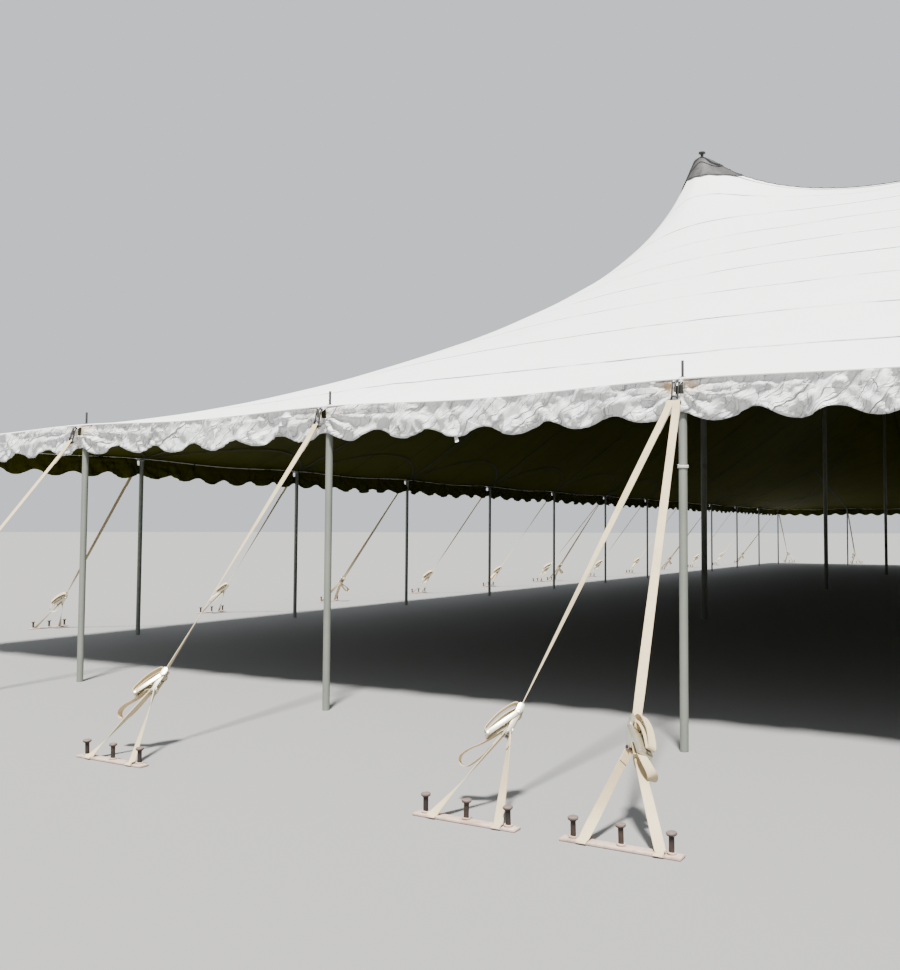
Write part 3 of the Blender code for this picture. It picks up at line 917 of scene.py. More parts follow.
def makeLacing(name, row):
    reach = tent["edgeX"] - 0.012
    path = np.stack([np.linspace(-reach, reach, lacing["steps"]), np.full(lacing["steps"], row)], -1)
    flap = drapeBand(name, path, lacing["width"], lacing["lift"], 6, finish["roofTop"], lacing["thick"])
    outline = np.array([(0, -1), (0.45, -1.1), (0.85, -0.7), (1, 0), (0.85, 0.7), (0.45, 1.1), (0, 1),
                        (-0.06, 0)])
    vertices, faces = [], []
    for k in range(int(2 * reach / lacing["loopPitch"]) - 1):
        start = -reach + 0.03 + k * lacing["loopPitch"]
        if min(abs(start + 0.04 - x) for x in linesX.values()) < lacing["clear"]:
            continue
        x = start + outline[:, 0] * lacing["loopLength"]
        y = row + outline[:, 1] * lacing["loopHalf"] * (1 + 0.12 * math.sin(k * 2.3))
        middle = np.stack([x, y, roofAt(x, y) + lacing["loopLift"] + 0.003 * outline[:, 0]], -1)
        ahead = unit(np.roll(middle, -1, axis=0) - np.roll(middle, 1, axis=0))
        beside = unit(np.cross(ahead, (0, 0, 1.0)))
        above = np.cross(beside, ahead)
        base = len(vertices)
        for ring in range(8):
            after = (ring + 1) % 8
            for corner in range(4):
                turn = math.pi / 2 * corner + 0.4
                other = (corner + 1) % 4
                vertices.append(middle[ring] + lacing["rope"] * (math.cos(turn) * beside[ring]
                                                                 + math.sin(turn) * above[ring]))
                faces.append([base + 4 * a + b for a, b in ((ring, corner), (ring, other), (after, other),
                                                            (after, corner))])
    mesh = bpy.data.meshes.new("laceLoops")
    mesh.from_pydata([tuple(v) for v in vertices], [], faces)
    loops = paint(linkPiece("laceLoops", mesh), finish["rope"])
    turnNormalsOut(loops)
    finishPiece(joinPieces(name, [flap, smoothAll(loops)]), "canopy_vinyl")


ribs = {
    "width": 0.024,
    "drop": 0.0065,          # under the roof's top
    "thick": 0.0016,
    "swagDepth": 0.36,       # reach of the curved bands from pole to pole
    "swagWidth": 0.011,
    "endStop": 1.6,          # bands of the ends stop this far outside the last row
    "hipSpread": 2.2,        # how much further out those of the long sides stop towards the ends
}


def straightRibs():  # from each side pole towards the ridge, and between the main poles
    mainX, row, halfLong = tent["mainX"], tent["rowY"], tent["halfLong"]
    ways = []
    for x, y, side, step in sidePoles:
        if isCorner(x, y):
            ways.append(((x * 0.992, y * 0.996), (math.copysign(mainX, x), math.copysign(row, y))))
        elif side in ("left", "right"):
            past = 0 if abs(y) < row + 0.01 else (abs(y) - row) / (halfLong - row) * ribs["hipSpread"]
            ways.append(((x * 0.992, y), (math.copysign(mainX + past, x), y)))
        else:
            inner = row + (0 if abs(x) < mainX + 0.01 else ribs["endStop"])
            ways.append(((x, y * 0.996), (x, math.copysign(inner, y))))
    ways += [((-mainX, line), (mainX, line)) for line in rowsY.values()]
    return ways + [((x, -row), (x, row)) for x in linesX.values()]


def makeRibs():
    parts = []

    def addBand(name, path, width, drop):
        parts.append(drapeBand(name, path, width, -drop, 1, finish["darkWebbing"], ribs["thick"]))

    for start, end in straightRibs():
        share = np.linspace(0, 1, 46)[:, None]
        addBand("rib", (1 - share) * np.array(start) + share * np.array(end), ribs["width"], ribs["drop"])
    for here, there in zip(sidePoles, sidePoles[1:] + sidePoles[:1]):
        start, end = np.array(here[:2]), np.array(there[:2])
        onLongSide = abs(start[0] - end[0]) < 0.01
        inward = -np.sign(start) * ((1, 0) if onLongSide else (0, 1))
        share = np.linspace(0.012, 0.988, 30)[:, None]
        bow = (1 - (2 * share - 1) ** 2) ** 0.8
        path = (1 - share) * start + share * end + inward * (0.02 + ribs["swagDepth"] * bow)
        addBand("swag", path, ribs["swagWidth"], ribs["drop"] + 0.003)
    finishPiece(joinPieces("roofRibWebbing", parts), "guy_webbing")


for label, y in rowsY.items():
    makeLacing("laceFlap_" + label, y)
    for side, x in linesX.items():
        makeHood("peakHood_%s_%s" % (label, side), x, y)
makeRibs()
print("hoods, lace flaps and ribs laid")


# Valances: wrinkled strips along the eave with a wavy lower edge and a slot at each side pole
skirt = {
    "drop": 0.140,
    "wave": 0.036,           # height of the waves along the lower edge
    "wavesPerBay": 6,
    "stepsPerBay": 120,
    "rows": 14,
    "cloth": 0.0018,
    "under": 0.0045,         # upper edge below the eave
    "slotHalf": 0.0125,
    "slotDepths": (0.012, 0.052),
    "out": 0.0035,           # in front of the roof's edge
    "crumples": ((0.42, 2), (0.20, 4), (0.10, 5), (0.052, 4)),  # length and how many of that length
    "crumple": 0.0078,
    "fan": 0.0120,           # folds that fan out from each hook
    "welt": 0.0042,          # rope in the hem
    "weltDrop": 0.0058,
}


def ridged(value):  # a wave with a sharp crest
    return 1 - 2 * np.abs(np.sin(value))


def hangValance(label, bays, endReach, place, turn, seed):
    generator = np.random.default_rng(seed)
    half = bays * tent["bay"] / 2
    ends = np.array([0.35, 1.0]) * (endReach - half)
    run = np.concatenate([-half - ends[::-1], np.linspace(-half, half, bays * skirt["stepsPerBay"] + 1),
                          half + ends])
    wave = 0.5 + 0.5 * np.cos(2 * np.pi * run * skirt["wavesPerBay"] / tent["bay"])
    deep = skirt["drop"] - skirt["wave"] * wave ** 1.25
    share = np.linspace(0, 1, skirt["rows"] + 1)[:, None]
    depth = share * deep[None, :]
    along = np.broadcast_to(run[None, :], depth.shape)
    poles = np.linspace(-half, half, bays + 1)
    beside = np.abs(run - poles[np.abs(run[:, None] - poles[None, :]).argmin(1)])
    dip = eaveDip(np.clip(run, -half, half) + half)
    top = tent["eave"] - skirt["under"] - dip - 0.0065 * np.exp(-(beside / 0.10) ** 2)

    sway = np.sin(2 * np.pi * run / 1.1 + generator.uniform(0, 6))
    bulge = 0.004 * share ** 1.2 + 0.0035 * sway[None, :] * share
    strength = np.interp(run, np.linspace(run[0], run[-1], bays * 4), generator.uniform(0.45, 1.5, bays * 4))
    for size, count in skirt["crumples"]:
        for _ in range(count):
            lean = generator.uniform(-1.6, 1.6)
            length = size * generator.uniform(0.75, 1.3)
            sway = generator.uniform(0.02, 0.07) * np.sin(2 * np.pi * along / generator.uniform(0.3, 0.9)
                                                         + generator.uniform(0, 6.28))
            line = (along + sway + lean * depth) * np.pi / length + generator.uniform(0, 6.28)
            crumpled = skirt["crumple"] * size ** 0.35 * ridged(line)
            bulge = bulge + crumpled * strength * (0.35 + 0.65 * share)
    for pole in poles:
        across, down = along - pole, depth - 0.028
        away = np.hypot(across, down)
        fan = np.arctan2(down, np.abs(across) + 0.004)
        fade = np.exp(-away / 0.34) * np.clip((away - 0.014) / 0.03, 0, 1)
        phase = generator.uniform(0, 6.28, 2)
        swirl = np.sqrt(np.clip(fan, 0, 2)) * 9 + np.where(across < 0, phase[0], phase[1]) + away * 2
        bulge = bulge + fade * (skirt["fan"] * ridged(swirl) + 0.0035 * np.cos(13 * fan + phase[0]))
        bulge = bulge + 0.009 * np.exp(-(away / 0.07) ** 2)
    bulge = bulge * np.clip(share / 0.12, 0.15, 1)
    lift = 0.0025 * np.sin(2 * np.pi * along / 0.37 + generator.uniform(0, 6)) * share
    points = np.stack([along, -(skirt["out"] + bulge), top[None, :] - depth + lift], -1)
    mapping = np.stack([along, np.broadcast_to(share, along.shape)], -1)
    cloth = meshFromGrid("valanceCloth_" + label, points[::-1], mapping[::-1],
                         [finish["skirt"], finish["roofUnder"]])

    def inSlot(middle, normal):
        near = np.abs(poles - middle.x).min()
        depthHere = tent["eave"] - skirt["under"] - middle.z
        return near < skirt["slotHalf"] and skirt["slotDepths"][0] < depthHere < skirt["slotDepths"][1]

    selectFaces(cloth, inSlot)
    bpy.ops.mesh.delete(type="FACE")
    leaveEdit()
    thicken(cloth, skirt["cloth"], -1, material_offset=1)
    smoothAll(cloth)
    cloth.data.transform(Matrix.Translation(place) @ Matrix.Rotation(turn, 4, "Z"))
    finishPiece(cloth, "valance_vinyl", "valance_" + label)
    length = 2 * endReach


hangValance("front", tent["baysWide"], tent["edgeX"] + 0.004, (0, -tent["edgeY"], 0), 0, 3)
hangValance("back", tent["baysWide"], tent["edgeX"] + 0.004, (0, tent["edgeY"], 0), 2 * quarter, 4)
hangValance("right", tent["baysLong"], tent["edgeY"], (tent["edgeX"], 0, 0), quarter, 5)
hangValance("left", tent["baysLong"], tent["edgeY"], (-tent["edgeX"], 0, 0), -quarter, 6)


def makeEaveWelt():  # rope in the hem where roof and valances meet
    x, y = tent["edgeX"] - 0.0005, tent["edgeY"] - 0.0005
    acrossLine = np.linspace(-x, x, tent["baysWide"] * 20 + 1)[:-1]
    alongLine = np.linspace(-y, y, tent["baysLong"] * 20 + 1)[:-1]
    plan = [(a, -y) for a in acrossLine] + [(x, b) for b in alongLine]
    plan += [(-a, y) for a in acrossLine] + [(-x, -b) for b in alongLine]
    line = []
    for a, b in plan:
        ownRun = a if abs(abs(b) - y) < speck else b
        dip = float(eaveDip(min(max(ownRun, -tent["halfLong"]), tent["halfLong"])))
        if abs(a) > tent["halfWide"] and abs(b) > tent["halfLong"]:
            dip = 0.0
        line.append((a, b, tent["eave"] - skirt["weltDrop"] - dip))
    welt = layRope("eaveWelt", np.array(line), skirt["welt"], finish["roofTop"], closed=True)
    finishPiece(welt, "canopy_vinyl")


makeEaveWelt()
print("valances hung")


# Main poles
mast = {
    "tube": 0.025,
    "stem": 0.0125,
    "shoulderDrop": 0.0180,  # top of the tube under the peak
    "capAbove": 0.056,
    "capRise": 0.018,
    "capRings": ((0.004, 1.25), (0.002, 1.75), (0.004, 1.10), (0.006, 0.97), (0.004, 0.80), (0.002, 0.55)),
    "sides": 32,
}


def makeMast():  # tube, stem and mushroom cap, drawn out of one cylinder
    shoulder = tent["peak"] - mast["shoulderDrop"]
    capUnder = tent["peak"] + mast["capAbove"] - mast["capRise"]
    piece = addColumn("mast", mast["tube"], shoulder, mast["sides"])
    selectEnd(piece, 1)
    bpy.ops.mesh.inset(thickness=mast["tube"] - mast["stem"])
    for rise, spread in ((capUnder - shoulder - 0.004, 1.0), *mast["capRings"]):
        extrude(0, 0, rise)
        widen(spread, spread)
    leaveEdit()
    selectFaces(piece, lambda middle, normal: middle.z > shoulder + 0.0005)
    piece.data.materials.append(finish["mast"])
    piece.data.materials.append(finish["cap"])
    piece.active_material_index = 1
    bpy.ops.object.material_slot_assign()
    leaveEdit()
    bevelEdges(piece, 0.0012, angle_limit=math.radians(50))
    smooth(piece, 40)
    collar = addRing("collar", (0, 0, tent["peak"] + 0.001), (0, 0, 1), 0.0170, 0.0038, 24, 8, finish["cap"])
    return joinPieces("mast", [piece, collar])


mastModel = makeMast()
for label, y in rowsY.items():
    for side, x in linesX.items():
        piece = copyTo(mastModel, Matrix.Translation((x, y, 0)))
        piece.name = "mainPole_%s_%s" % (label, side)
        finishPiece(piece, "dark_pole", "main_pole_%s_%s" % (label, side))
bpy.data.objects.remove(mastModel)
print("main poles stand")


# Side poles and what is strapped to them: all is modelled round a pole at the origin, its guy towards -Y
post = {
    "radius": 0.0145,
    "shoulderDrop": 0.0085,
    "pin": 0.0048,
    "pinAbove": 0.060,
    "sides": 24,
    "tieDrop": 0.30,         # two turns of tie round some poles
}
guy = {
    "eyeOut": 0.082,         # pole centre to the eye of the hook
    "eyeDrop": 0.092,
    "twinEyes": 0.0105,      # how far beside the pole each of two straps hangs
    "stakeOut": 0.975,
    "apexShare": 0.835,      # where the two legs of the bridle meet
    "legSpread": 0.095,
    "webWidth": 0.0255,
    "webThick": 0.0017,
    "stakeStep": 0.122,
    "barLength": 0.300,
    "barWidth": 0.032,
    "barThick": 0.006,
    "twinReach": 0.210,
    "doubled": 0.135,        # length sewn back on itself below the eye
    "strapStop": 0.036,      # strap ends this far above the bridle's meeting point
    "headDrop": 0.010,       # legs start this far above it
    "ratchetUp": 0.038,      # and the ratchet's middle is this far above it
    "twist": {"left": 1.02, "right": -1.10, "turned": -1.0},  # of the webbing by the ratchet, in radians
}


def makePost(withTie):
    tape = finish["tape"]
    shoulder = tent["eave"] - post["shoulderDrop"]
    tube = addColumn("tube", post["radius"], shoulder, post["sides"])
    selectEnd(tube, 1)
    for thickness, rise in ((0.0018, -0.004), (0.004, 0.0035)):
        bpy.ops.mesh.inset(thickness=thickness)
        extrude(0, 0, rise)
    leaveEdit()
    selectEnd(tube, -1)
    bpy.ops.mesh.inset(thickness=0.002)
    extrude(0, 0, 0.003)
    leaveEdit()
    parts = [smooth(paint(tube, finish["pole"])),
             addRod("pin", (0, 0, shoulder - 0.06), (0, 0, tent["eave"] + post["pinAbove"]), post["pin"], 14,
                    finish["pin"], 0.0012),
             addRod("endCap", (0, 0, shoulder - 0.016), (0, 0, shoulder - 0.0005), post["radius"] + 0.0012,
                    24, tape, 0.0008),
             addRing("washer", (0, 0, tent["eave"] + 0.0020), (0, 0, 1), 0.0105, 0.0024, 18, 6,
                     finish["hook"])]
    if withTie:
        height, radius = tent["eave"] - post["tieDrop"], post["radius"] + 0.0020
        turns = np.linspace(0, 4.6 * math.pi, 60)
        coil = np.stack([radius * np.cos(turns), radius * np.sin(turns),
                         height + 0.0021 * turns / math.pi + 0.0012 * np.sin(turns)], -1)
        tail = curveThrough([(0.015, -0.016, height + 0.006), (0.021, -0.017, height - 0.004),
                             (0.020, -0.016, height - 0.026)])
        parts += [layRope("tie", coil, 0.0022, tape),
                  addRod("knot", (0.012, -0.014, height + 0.004), (0.017, -0.018, height + 0.010), 0.0042,
                         10, tape, 0.0015),
                  layRope("tieTail", tail, 0.0018, tape)]
    return joinPieces("post", parts)


def guyFrame(footX):  # hook's eye, bridle's meeting point, and the directions along, across and out
    beside = math.copysign(guy["twinEyes"], footX) if footX else 0.0
    eye = Vector((beside, -guy["eyeOut"], tent["eave"] - guy["eyeDrop"]))
    foot = Vector((footX, -guy["stakeOut"], guy["barThick"]))
    down = (foot - eye).normalized()
    side = (Vector((1, 0, 0)) - down * down.x).normalized()
    return eye, eye + (foot - eye) * guy["apexShare"], down, side, down.cross(side)


def layStrip(name, points, sideways, columns=1, width=guy["webWidth"], material=finish["webbing"]):
    points = np.asarray(points, float)
    ahead = unit(np.gradient(points, axis=0))
    sideways = np.broadcast_to(np.asarray(sideways, float), points.shape)
    sideways = unit(sideways - (sideways * ahead).sum(1)[:, None] * ahead)
    offsets = np.linspace(-0.5, 0.5, columns + 1) * width
    grid = points[:, None, :] + sideways[:, None, :] * offsets[None, :, None]
    strip = meshFromGrid(name, grid, mapStrip(points, offsets, width), [material])
    thicken(strip, guy["webThick"])
    return smooth(strip, 40)


def turnedSide(side, out, turn):  # direction of the webbing's width after a twist
    return side[None, :] * np.cos(turn)[:, None] + out[None, :] * np.sin(turn)[:, None]


# Middle lines of the spare webbing, from the meeting point of the bridle
loose = {
    "folded": [(-0.046, 0.001), (-0.068, 0.000), (-0.081, 0.006), (-0.080, 0.018), (-0.060, 0.033),
               (-0.034, 0.046), (-0.006, 0.055), (0.014, 0.059), (0.021, 0.054), (0.012, 0.050),
               (-0.006, 0.044), (-0.030, 0.034), (-0.052, 0.021), (-0.068, 0.009)],  # down the guy and out
    "short": [(0.036, -0.002, 0.034), (0.048, -0.014, 0.043), (0.060, -0.031, 0.045), (0.067, -0.047, 0.042),
              (0.065, -0.060, 0.034), (0.054, -0.067, 0.024), (0.040, -0.063, 0.015), (0.028, -0.050, 0.011),
              (0.022, -0.034, 0.012), (0.022, -0.016, 0.020), (0.028, -0.004, 0.030)],  # side, up and out
    "long": [(0.006, 0.010, 0.010), (0.038, -0.012, 0.014), (0.074, -0.032, 0.016), (0.108, -0.048, 0.016),
             (0.134, -0.068, 0.016), (0.136, -0.088, 0.016), (0.116, -0.094, 0.016), (0.086, -0.076, 0.014),
             (0.048, -0.044, 0.012), (0.012, -0.008, 0.008)],
}


def makeStraps(footX, variant):
    eye, apex, down, side, out = [np.array(v) for v in guyFrame(footX)]
    length = float(np.linalg.norm(apex - eye))
    twist = guy["twist"][variant]
    parts = []

    def addStrip(name, *values):
        parts.append(layStrip(name, *values))

    ends = [(guy["doubled"], -0.0026), (0.06, -0.0026), (0.018, -0.0034), (0.003, -0.0070),
            (-0.0065, -0.0048), (-0.0085, 0.0), (-0.0065, 0.0048), (0.003, 0.0070), (0.018, 0.0030),
            (0.06, 0.0006), (guy["doubled"], 0.0)]  # round the eye
    shares = np.linspace(0.07, 1, 18)
    points = [eye + down * a + out * b for a, b in ends]
    doubled, run = guy["doubled"], length - guy["strapStop"] - guy["doubled"]
    points += [eye + down * (doubled + share * run) for share in shares]
    runs = np.concatenate([np.zeros(len(ends)), shares])
    sideways = turnedSide(side, out, twist * runs ** (5.0 if variant == "right" else 1.3))
    addStrip("guyStrap", points, sideways, 2)

    shares = np.concatenate([np.linspace(0, 0.97, 14), [1, 1, 1, 1]])
    wrap = [(0, 0.0, 0.0), (0, -0.008, -0.0005), (0, -0.0135, -0.003), (0, -0.0150, -0.0065)]
    for edge, hold in zip((-1, 1), (3.2, 0.9)):
        foot = np.array((footX + edge * (guy["legSpread"] + 0.004 * edge), -guy["stakeOut"] - 0.005,
                         guy["barThick"] + 0.004))
        head = apex - down * guy["headDrop"] + side * edge * 0.004
        line = [head + (foot - head) * share for share in shares[:14]]
        line += [foot + np.array(step) for step in wrap]
        leg = (foot - head) / np.linalg.norm(foot - head)
        flat = np.array((1.0, 0, 0)) - leg * leg[0]
        flat /= np.linalg.norm(flat)
        sideways = turnedSide(flat, np.cross(leg, flat), twist * 1.08 * (1 - shares ** hold))
        addStrip("bridleLeg", line, sideways, 2)
        over = np.cross(leg, sideways[:5])
        back = [head + (foot - head) * share + over[k] * 0.0022
                for k, share in enumerate(np.linspace(0.0, 0.20, 5))]
        addStrip("sewnEnd", back, sideways[:5])

    swung = out * math.cos(twist) - side * math.sin(twist)  # the way the ratchet's lever opens
    across = side * math.cos(twist) + out * math.sin(twist)
    bulge = 1.15 if variant == "right" else 1.0
    folded = [apex + down * a + swung * b * bulge for a, b in loose["folded"]]
    addStrip("foldedBand", curveThrough(folded), across)
    sign = {"left": -1, "right": 1, "turned": 1}[variant]
    path, wide = loose["long"], (0.30 * sign, 0.92, -0.26)
    if variant == "right":
        path, wide = loose["short"], (0.60, 0.74, -0.30)
    path = [apex + np.array((sign * s, -o, z)) for s, z, o in path]
    addStrip("spareLoop", curveThrough(path), wide)
    return parts


ratchet = {
    "pivot": (0.0020, -0.0200),  # spool in the ratchet's own Y and Z
    "boltPlace": (0.001, 0.042),
    "cheek": (0.0018, 0.019, 0.086),
    "cheekOut": 0.0162,      # from the middle to each side plate
    "wheel": 0.0098,
    "wheelThick": 0.0016,
    "wheelOut": 0.0140,
    "teeth": 12,
    "toothHeight": 0.0022,
    "lever": (0.0016, 0.0135, 0.106),
    "leverOut": 0.0196,
    "leverUp": 0.047,        # middle of the lever above the spool
    "leverSwing": 0.50,      # how far it stands open
    "grip": 0.0052,
    "gripUp": 0.097,
    "spool": 0.0044,
    "bolt": 0.0028,
    "roll": 0.0105,          # webbing wound on the spool
}


def makeRatchet():  # modelled with the guy running down its Z axis and its open side towards -Y
    zinc, dark = finish["zinc"], finish["hook"]
    pivotY, pivotZ = ratchet["pivot"]
    pivot = Matrix.Translation((0, pivotY, pivotZ))
    hub = Vector((0, pivotY, pivotZ))
    parts = []

    def addOpen(piece):  # a part of the lever
        piece.data.transform(pivot @ Matrix.Rotation(ratchet["leverSwing"], 4, "X") @ pivot.inverted())
        parts.append(piece)

    def addPin(name, ends, place, radius, sides, material, bevel=0.0):
        parts.append(addRod(name, (ends[0], *place), (ends[1], *place), radius, sides, material, bevel))

    def addDrum(name, sides, radius, depth, x):
        return begin(bpy.ops.mesh.primitive_cylinder_add, name, vertices=sides, radius=radius, depth=depth,
                     location=(x, pivotY, pivotZ), rotation=(0, quarter, 0))

    def isTooth(middle, normal):
        turn = math.atan2(middle.z - hub.z, middle.y - hub.y) / (2 * math.pi) * 2 * ratchet["teeth"]
        return abs(normal.x) < 0.5 and int(math.floor(turn)) % 2 == 0

    for edge in (-1, 1):
        plate = begin(bpy.ops.mesh.primitive_cube_add, "cheek", size=1, scale=ratchet["cheek"],
                      location=(edge * ratchet["cheekOut"], 0.001, 0.004))
        selectEnd(plate, 1)
        widen(1, 0.55, (0, 0.001, 0.047))
        leaveEdit()
        selectEnd(plate, -1)
        extrude(0, 0, -0.008)
        widen(1, 0.6, (0, 0.001, -0.047))
        leaveEdit()
        bevelEdges(plate, 0.0006)
        parts.append(smooth(paint(plate, zinc)))
        wheel = addDrum("wheel", 2 * ratchet["teeth"], ratchet["wheel"], ratchet["wheelThick"],
                        edge * ratchet["wheelOut"])
        selectFaces(wheel, isTooth)
        grow = {"value": ratchet["toothHeight"]}
        bpy.ops.mesh.extrude_region_shrink_fatten(TRANSFORM_OT_shrink_fatten=grow)
        leaveEdit()
        parts.append(smooth(paint(wheel, dark)))
        addOpen(addPlate("lever", (edge * ratchet["leverOut"], pivotY - 0.001, pivotZ + ratchet["leverUp"]),
                         ratchet["lever"], zinc, 0.0006))
        addPin("nut", (edge * 0.0185, edge * 0.0222), ratchet["pivot"], 0.0058, 6, zinc, 0.0006)
        addPin("boltHead", (edge * 0.0172, edge * 0.0206), ratchet["boltPlace"], 0.0048, 6, dark, 0.0005)
    addPin("spool", (-0.021, 0.021), ratchet["pivot"], ratchet["spool"], 14, zinc, 0.0006)
    addPin("bolt", (-0.019, 0.019), ratchet["boltPlace"], ratchet["bolt"], 12, dark)
    gripZ = pivotZ + ratchet["gripUp"]
    addOpen(addRod("grip", (-0.0225, pivotY, gripZ), (0.0225, pivotY, gripZ), ratchet["grip"], 14, zinc,
                   0.0016))
    for name, y, z, size, bevel in (("leverBack", -0.0068, 0.062, (0.0376, 0.0014, 0.058), 0.0005),
                                    ("latch", 0.0, 0.028, (0.0300, 0.0018, 0.0240), 0.0006),
                                    ("latchLip", 0.005, 0.040, (0.0240, 0.0090, 0.0018), 0.0006)):
        addOpen(addPlate(name, (0, pivotY + y, pivotZ + z), size, zinc, bevel))
    parts.append(addPlate("stopBar", (0, 0.0085, 0.030), (0.0310, 0.0020, 0.0100), zinc, 0.0006))
    roll = addDrum("roll", 20, ratchet["roll"], 0.0250, 0)
    selectFaces(roll, lambda middle, normal: abs(normal.x) > 0.9)
    for depth in (-0.0008, 0.0008, -0.0008):
        bpy.ops.mesh.inset(thickness=0.0017, depth=depth, use_individual=True)
    leaveEdit()
    roll.data.uv_layers[0].name = "clothMap"
    parts.append(smooth(paint(roll, finish["webbing"])))
    return parts


hook = {
    "drop": 0.0175,          # middle of the bar below the eave
    "bar": 0.0040,
    "start": 0.012,          # out from the pole's centre
    "straight": 0.040,
    "bendOut": 0.052,        # centre of the bend
    "bend": 0.016,           # its radius and its degrees
    "bendTurn": 78,
    "collarOut": 0.0032,     # ring round the pole
    "collar": 0.0034,
    "shackle": 0.0030,
    "eyeBar": 0.0034,
    "eyeRadius": 0.0115,
    "eye": 0.0028,
    "tabWidth": 0.0105,      # pale tape in the valance's slot
}


def makeHook():  # a round bar bent over the eave's edge, a shackle and the eye that the guy hangs from
    top = tent["eave"] - hook["drop"]
    eyeY, eyeZ = -guy["eyeOut"], tent["eave"] - guy["eyeDrop"]
    steel = finish["hook"]
    bar = begin(bpy.ops.mesh.primitive_circle_add, "hookBar", vertices=10, radius=hook["bar"],
                fill_type="NGON", location=(0, -hook["start"], top), rotation=(quarter, 0, 0))
    selectFaces(bar, lambda middle, normal: True)
    extrude(0, -hook["straight"], 0)
    bpy.ops.mesh.spin(steps=6, angle=math.radians(-hook["bendTurn"]), axis=(1, 0, 0),
                      center=(0, -hook["bendOut"], top - hook["bend"]))
    extrude(0, -0.0035, -0.024)
    leaveEdit()
    legs = [(-0.010, -0.060, top - 0.004), (-0.0105, -0.068, top - 0.022),
            (-0.0100, eyeY + 0.006, eyeZ + 0.014), (-0.006, eyeY + 0.001, eyeZ + 0.004)]
    shackle = curveThrough(legs + [(0.0, eyeY, eyeZ + 0.0015)] + [(-x, y, z) for x, y, z in legs[::-1]])
    tab = curveThrough([(-0.013, -0.020, top + 0.004), (-0.0135, -0.046, top + 0.002),
                        (-0.011, -0.058, top - 0.008), (-0.004, -0.064, top - 0.013),
                        (0.004, -0.064, top - 0.012), (0.011, -0.058, top - 0.006),
                        (0.0135, -0.046, top + 0.004), (0.013, -0.020, top + 0.006)])
    return [smooth(paint(bar, steel), 40),
            addRing("collarRing", (0, 0, top), (0, 0, 1), post["radius"] + hook["collarOut"],
                    hook["collar"], 24, 8, steel),
            layRope("shackle", shackle, hook["shackle"], finish["pin"], roundness=2),
            addRod("shackleBolt", (-0.0155, -0.0605, top - 0.005), (0.0155, -0.0605, top - 0.005),
                   hook["shackle"], 10, steel, 0.0006),
            addRod("eyeBar", (-0.026, eyeY, eyeZ), (0.026, eyeY, eyeZ), hook["eyeBar"], 12, steel, 0.0008),
            addRing("eye", (0, eyeY + 0.003, eyeZ + 0.011), (0, 1, 0.25), hook["eyeRadius"],
                    hook["eye"], 20, 8, steel),
            layStrip("slotTab", tab, (0.0, 0.35, 0.94), 1, hook["tabWidth"], finish["tape"])]


stakeHead = {
    "radius": 0.0065,
    "stem": 0.042,           # from the ground to the head's underside
    "rings": ((0.0036, 1.12), (0.0016, 1.55), (0.0026, 1.12), (0.0036, 1.0), (0.0014, 0.88)),
    "burred": 0.0485,        # above this the hammer has burred it
}


def makeStake(x, y, lean, heading, seed):
    generator = np.random.default_rng(seed)
    stake = addColumn("stakeHead", stakeHead["radius"], stakeHead["stem"], 14)
    selectEnd(stake, 1)
    spreads = 1, generator.uniform(0.94, 1.05), 1, 1, 1  # no two heads are alike
    for (rise, ratio), spread in zip(stakeHead["rings"], spreads):
        extrude(0, 0, rise)
        widen(ratio * spread, ratio * spread)
    leaveEdit()
    for vertex in stake.data.vertices:
        if vertex.co.z > stakeHead["burred"]:
            vertex.co.x *= 1 + generator.uniform(-0.05, 0.05)
            vertex.co.y *= 1 + generator.uniform(-0.05, 0.05)
            vertex.co.z += generator.uniform(-0.0007, 0.0007)
    smooth(paint(stake, finish["stake"]), 40)
    ring = addRing("stakeRing", (0, 0, guy["barThick"] + 0.0030), (0.1, 0.05, 1), 0.0092, 0.0024, 18, 6,
                   finish["bar"])
    piece = joinPieces("stake", [stake, ring])
    tilt = Matrix.Rotation(lean, 4, Vector((math.cos(heading), math.sin(heading), 0)))
    piece.data.transform(Matrix.Translation((x, y, 0)) @ tilt)
    return piece


def makeAnchors(feet, seed):
    generator = np.random.default_rng(seed)
    parts = []
    for footX in feet:
        parts.append(addPlate("groundBar", (footX, -guy["stakeOut"], guy["barThick"] / 2),
                              (guy["barLength"], guy["barWidth"], guy["barThick"]), finish["bar"], 0.0012))
        for step in (-1, 0, 1):
            place = footX + step * guy["stakeStep"], -guy["stakeOut"] + 0.004
            parts.append(makeStake(*place, generator.uniform(0, 0.05), generator.uniform(0, 6.28),
                                   int(generator.integers(1, 900))))
    return joinPieces("anchors", parts)


def makeGuy(footX, variant):  # straps and steel of one guy
    apex, down, side, out = guyFrame(footX)[1:]
    straps = joinPieces("straps", makeStraps(footX, variant))
    steel = joinPieces("ratchet", makeRatchet())
    place = Matrix((-side, -out, down)).transposed().to_4x4()
    place = place @ Matrix.Rotation(guy["twist"][variant], 4, "Z")
    place.translation = apex - down * guy["ratchetUp"]
    steel.data.transform(place)
    return straps, steel


def buildGuySets():  # one model for each way a pole is held
    sets = {}
    kinds = {"left": [(0.0, "left")], "right": [(0.0, "right")], "turned": [(0.0, "turned")],
             "twin": [(-guy["twinReach"], "left"), (guy["twinReach"], "right")]}
    for kind, feet in kinds.items():
        hookParts = makeHook()
        straps, ratchets = zip(*[makeGuy(footX, variant) for footX, variant in feet])
        anchors = makeAnchors([footX for footX, variant in feet], 31 + len(sets))
        steel = joinPieces("steel_" + kind, [*hookParts, *ratchets])
        sets[kind] = (joinPieces("straps_" + kind, straps), steel, anchors)
    return sets


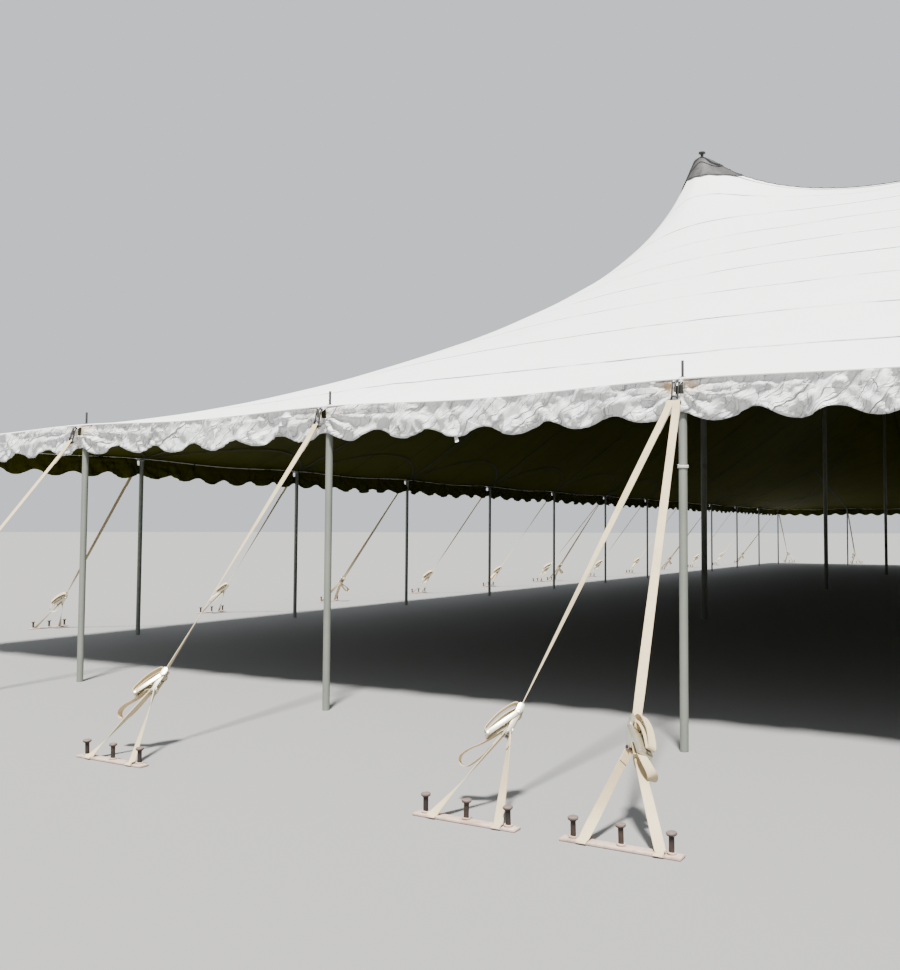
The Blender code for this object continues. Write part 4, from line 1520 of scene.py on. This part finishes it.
guySets = buildGuySets()
postModels = {True: makePost(True), False: makePost(False)}
turnOf = {"front": 0.0, "right": quarter, "back": 2 * quarter, "left": -quarter}
kindOf = {("front", 2): "right", ("front", 3): "left"}  # as the photo shows them
for middlePole in (("front", 4), ("back", 4), ("left", 6), ("right", 6)):
    kindOf[middlePole] = "twin"


def raiseSidePole(number, x, y, side, step):
    label = "%s_%d" % (side, step)
    standing = Matrix.Translation((x, y, 0))
    kind = kindOf.get((side, step), ("right", "left", "turned")[(number * 7 + 1) % 3])
    turns = [turnOf[side]]
    if isCorner(x, y):
        turns = [0.0 if y < 0 else 2 * quarter, -quarter if x < 0 else quarter]
    pole = copyTo(postModels[kind == "twin"], standing @ Matrix.Rotation(number * 0.7, 4, "Z"))
    pole.name = "sidePole_" + label
    finishPiece(pole, "galvanised_pole", "side_pole_" + label)
    held = [[], [], []]
    for turn in turns:
        for pieces, model in zip(held, guySets[kind]):
            pieces.append(copyTo(model, standing @ Matrix.Rotation(turn, 4, "Z")))
    for pieces, name, slotName in zip(held, ("guyWebbing_", "guyHardware_", "groundAnchors_"),
                                      ("guy_webbing", "hardware_steel", "stake_iron")):
        finishPiece(joinPieces(name + label, pieces), slotName)


for number, sidePole in enumerate(sidePoles):
    raiseSidePole(number, *sidePole)
for models in (*guySets.values(), postModels.values()):
    for model in models:
        bpy.data.objects.remove(model)
print("side poles with guys and stakes:", len(sidePoles))


def hangSideTape():  # end of a side wall tape that shows under the front valance
    x, y, top = -0.89, -tent["edgeY"] + 0.012, tent["eave"] - 0.095
    path = curveThrough([(x, y, top), (x + 0.003, y - 0.004, top - 0.030),
                         (x - 0.004, y + 0.002, top - 0.062), (x + 0.002, y, top - 0.082)], 6)
    finishPiece(layStrip("sideTape", path, (1.0, 0.2, 0.0), 1, 0.014, finish["tape"]), "valance_vinyl")


hangSideTape()


# Floor, light and camera
stage = {
    "floor": (0.22, 0.22, 0.215),
    "floorSize": 900,
    "sky": (0.44, 0.46, 0.49),
    "skyStrength": 1.8,
    "sunStrength": 15.0,
    "sunTurn": (math.radians(24), math.radians(14), 0),
    "sunWidth": 7,           # degrees, for soft shadows
}
view = {
    "place": (1.1125, -12.1234, 0.7173),
    "lens": 35.34,
    "shift": -0.1134,
    "turn": 27.85,           # degrees left of +Y
    "rise": 2.79,
    "roll": 0.09,
}


def makeStage():
    floor = begin(bpy.ops.mesh.primitive_plane_add, "floor", size=stage["floorSize"],
                  location=(0, 0, -0.001))
    material, tree, shader, place = startMaterial("plainPaleFloor", stage["floor"], 0.9)
    shader.inputs["Specular IOR Level"].default_value = 0.2
    paint(floor, material)

    world = bpy.data.worlds.new("studioAir")
    world.use_nodes = True
    background = world.node_tree.nodes["Background"]
    background.inputs[0].default_value = (*stage["sky"], 1)
    background.inputs[1].default_value = stage["skyStrength"]
    bpy.context.scene.world = world

    deselectAll()
    bpy.ops.object.light_add(type="SUN", location=(4, -8, 14), rotation=stage["sunTurn"])
    sun = bpy.context.object
    sun.name = "softSun"
    sun.data.energy = stage["sunStrength"]
    sun.data.angle = math.radians(stage["sunWidth"])
    sun.data.color = (1.0, 0.98, 0.95)


def placeCamera():
    deselectAll()
    bpy.ops.object.camera_add(location=view["place"])
    camera = bpy.context.object
    camera.name = "photoCamera"
    camera.data.sensor_width = 36
    camera.data.lens = view["lens"]
    camera.data.shift_x = view["shift"]
    camera.data.clip_end = 2000
    turned = Matrix.Rotation(math.radians(view["turn"]), 4, "Z")
    raised = Matrix.Rotation(math.radians(90 + view["rise"]), 4, "X")
    rolled = Matrix.Rotation(math.radians(view["roll"]), 4, "Z")
    camera.rotation_euler = (turned @ raised @ rolled).to_euler()
    bpy.context.scene.camera = camera


makeStage()
placeCamera()
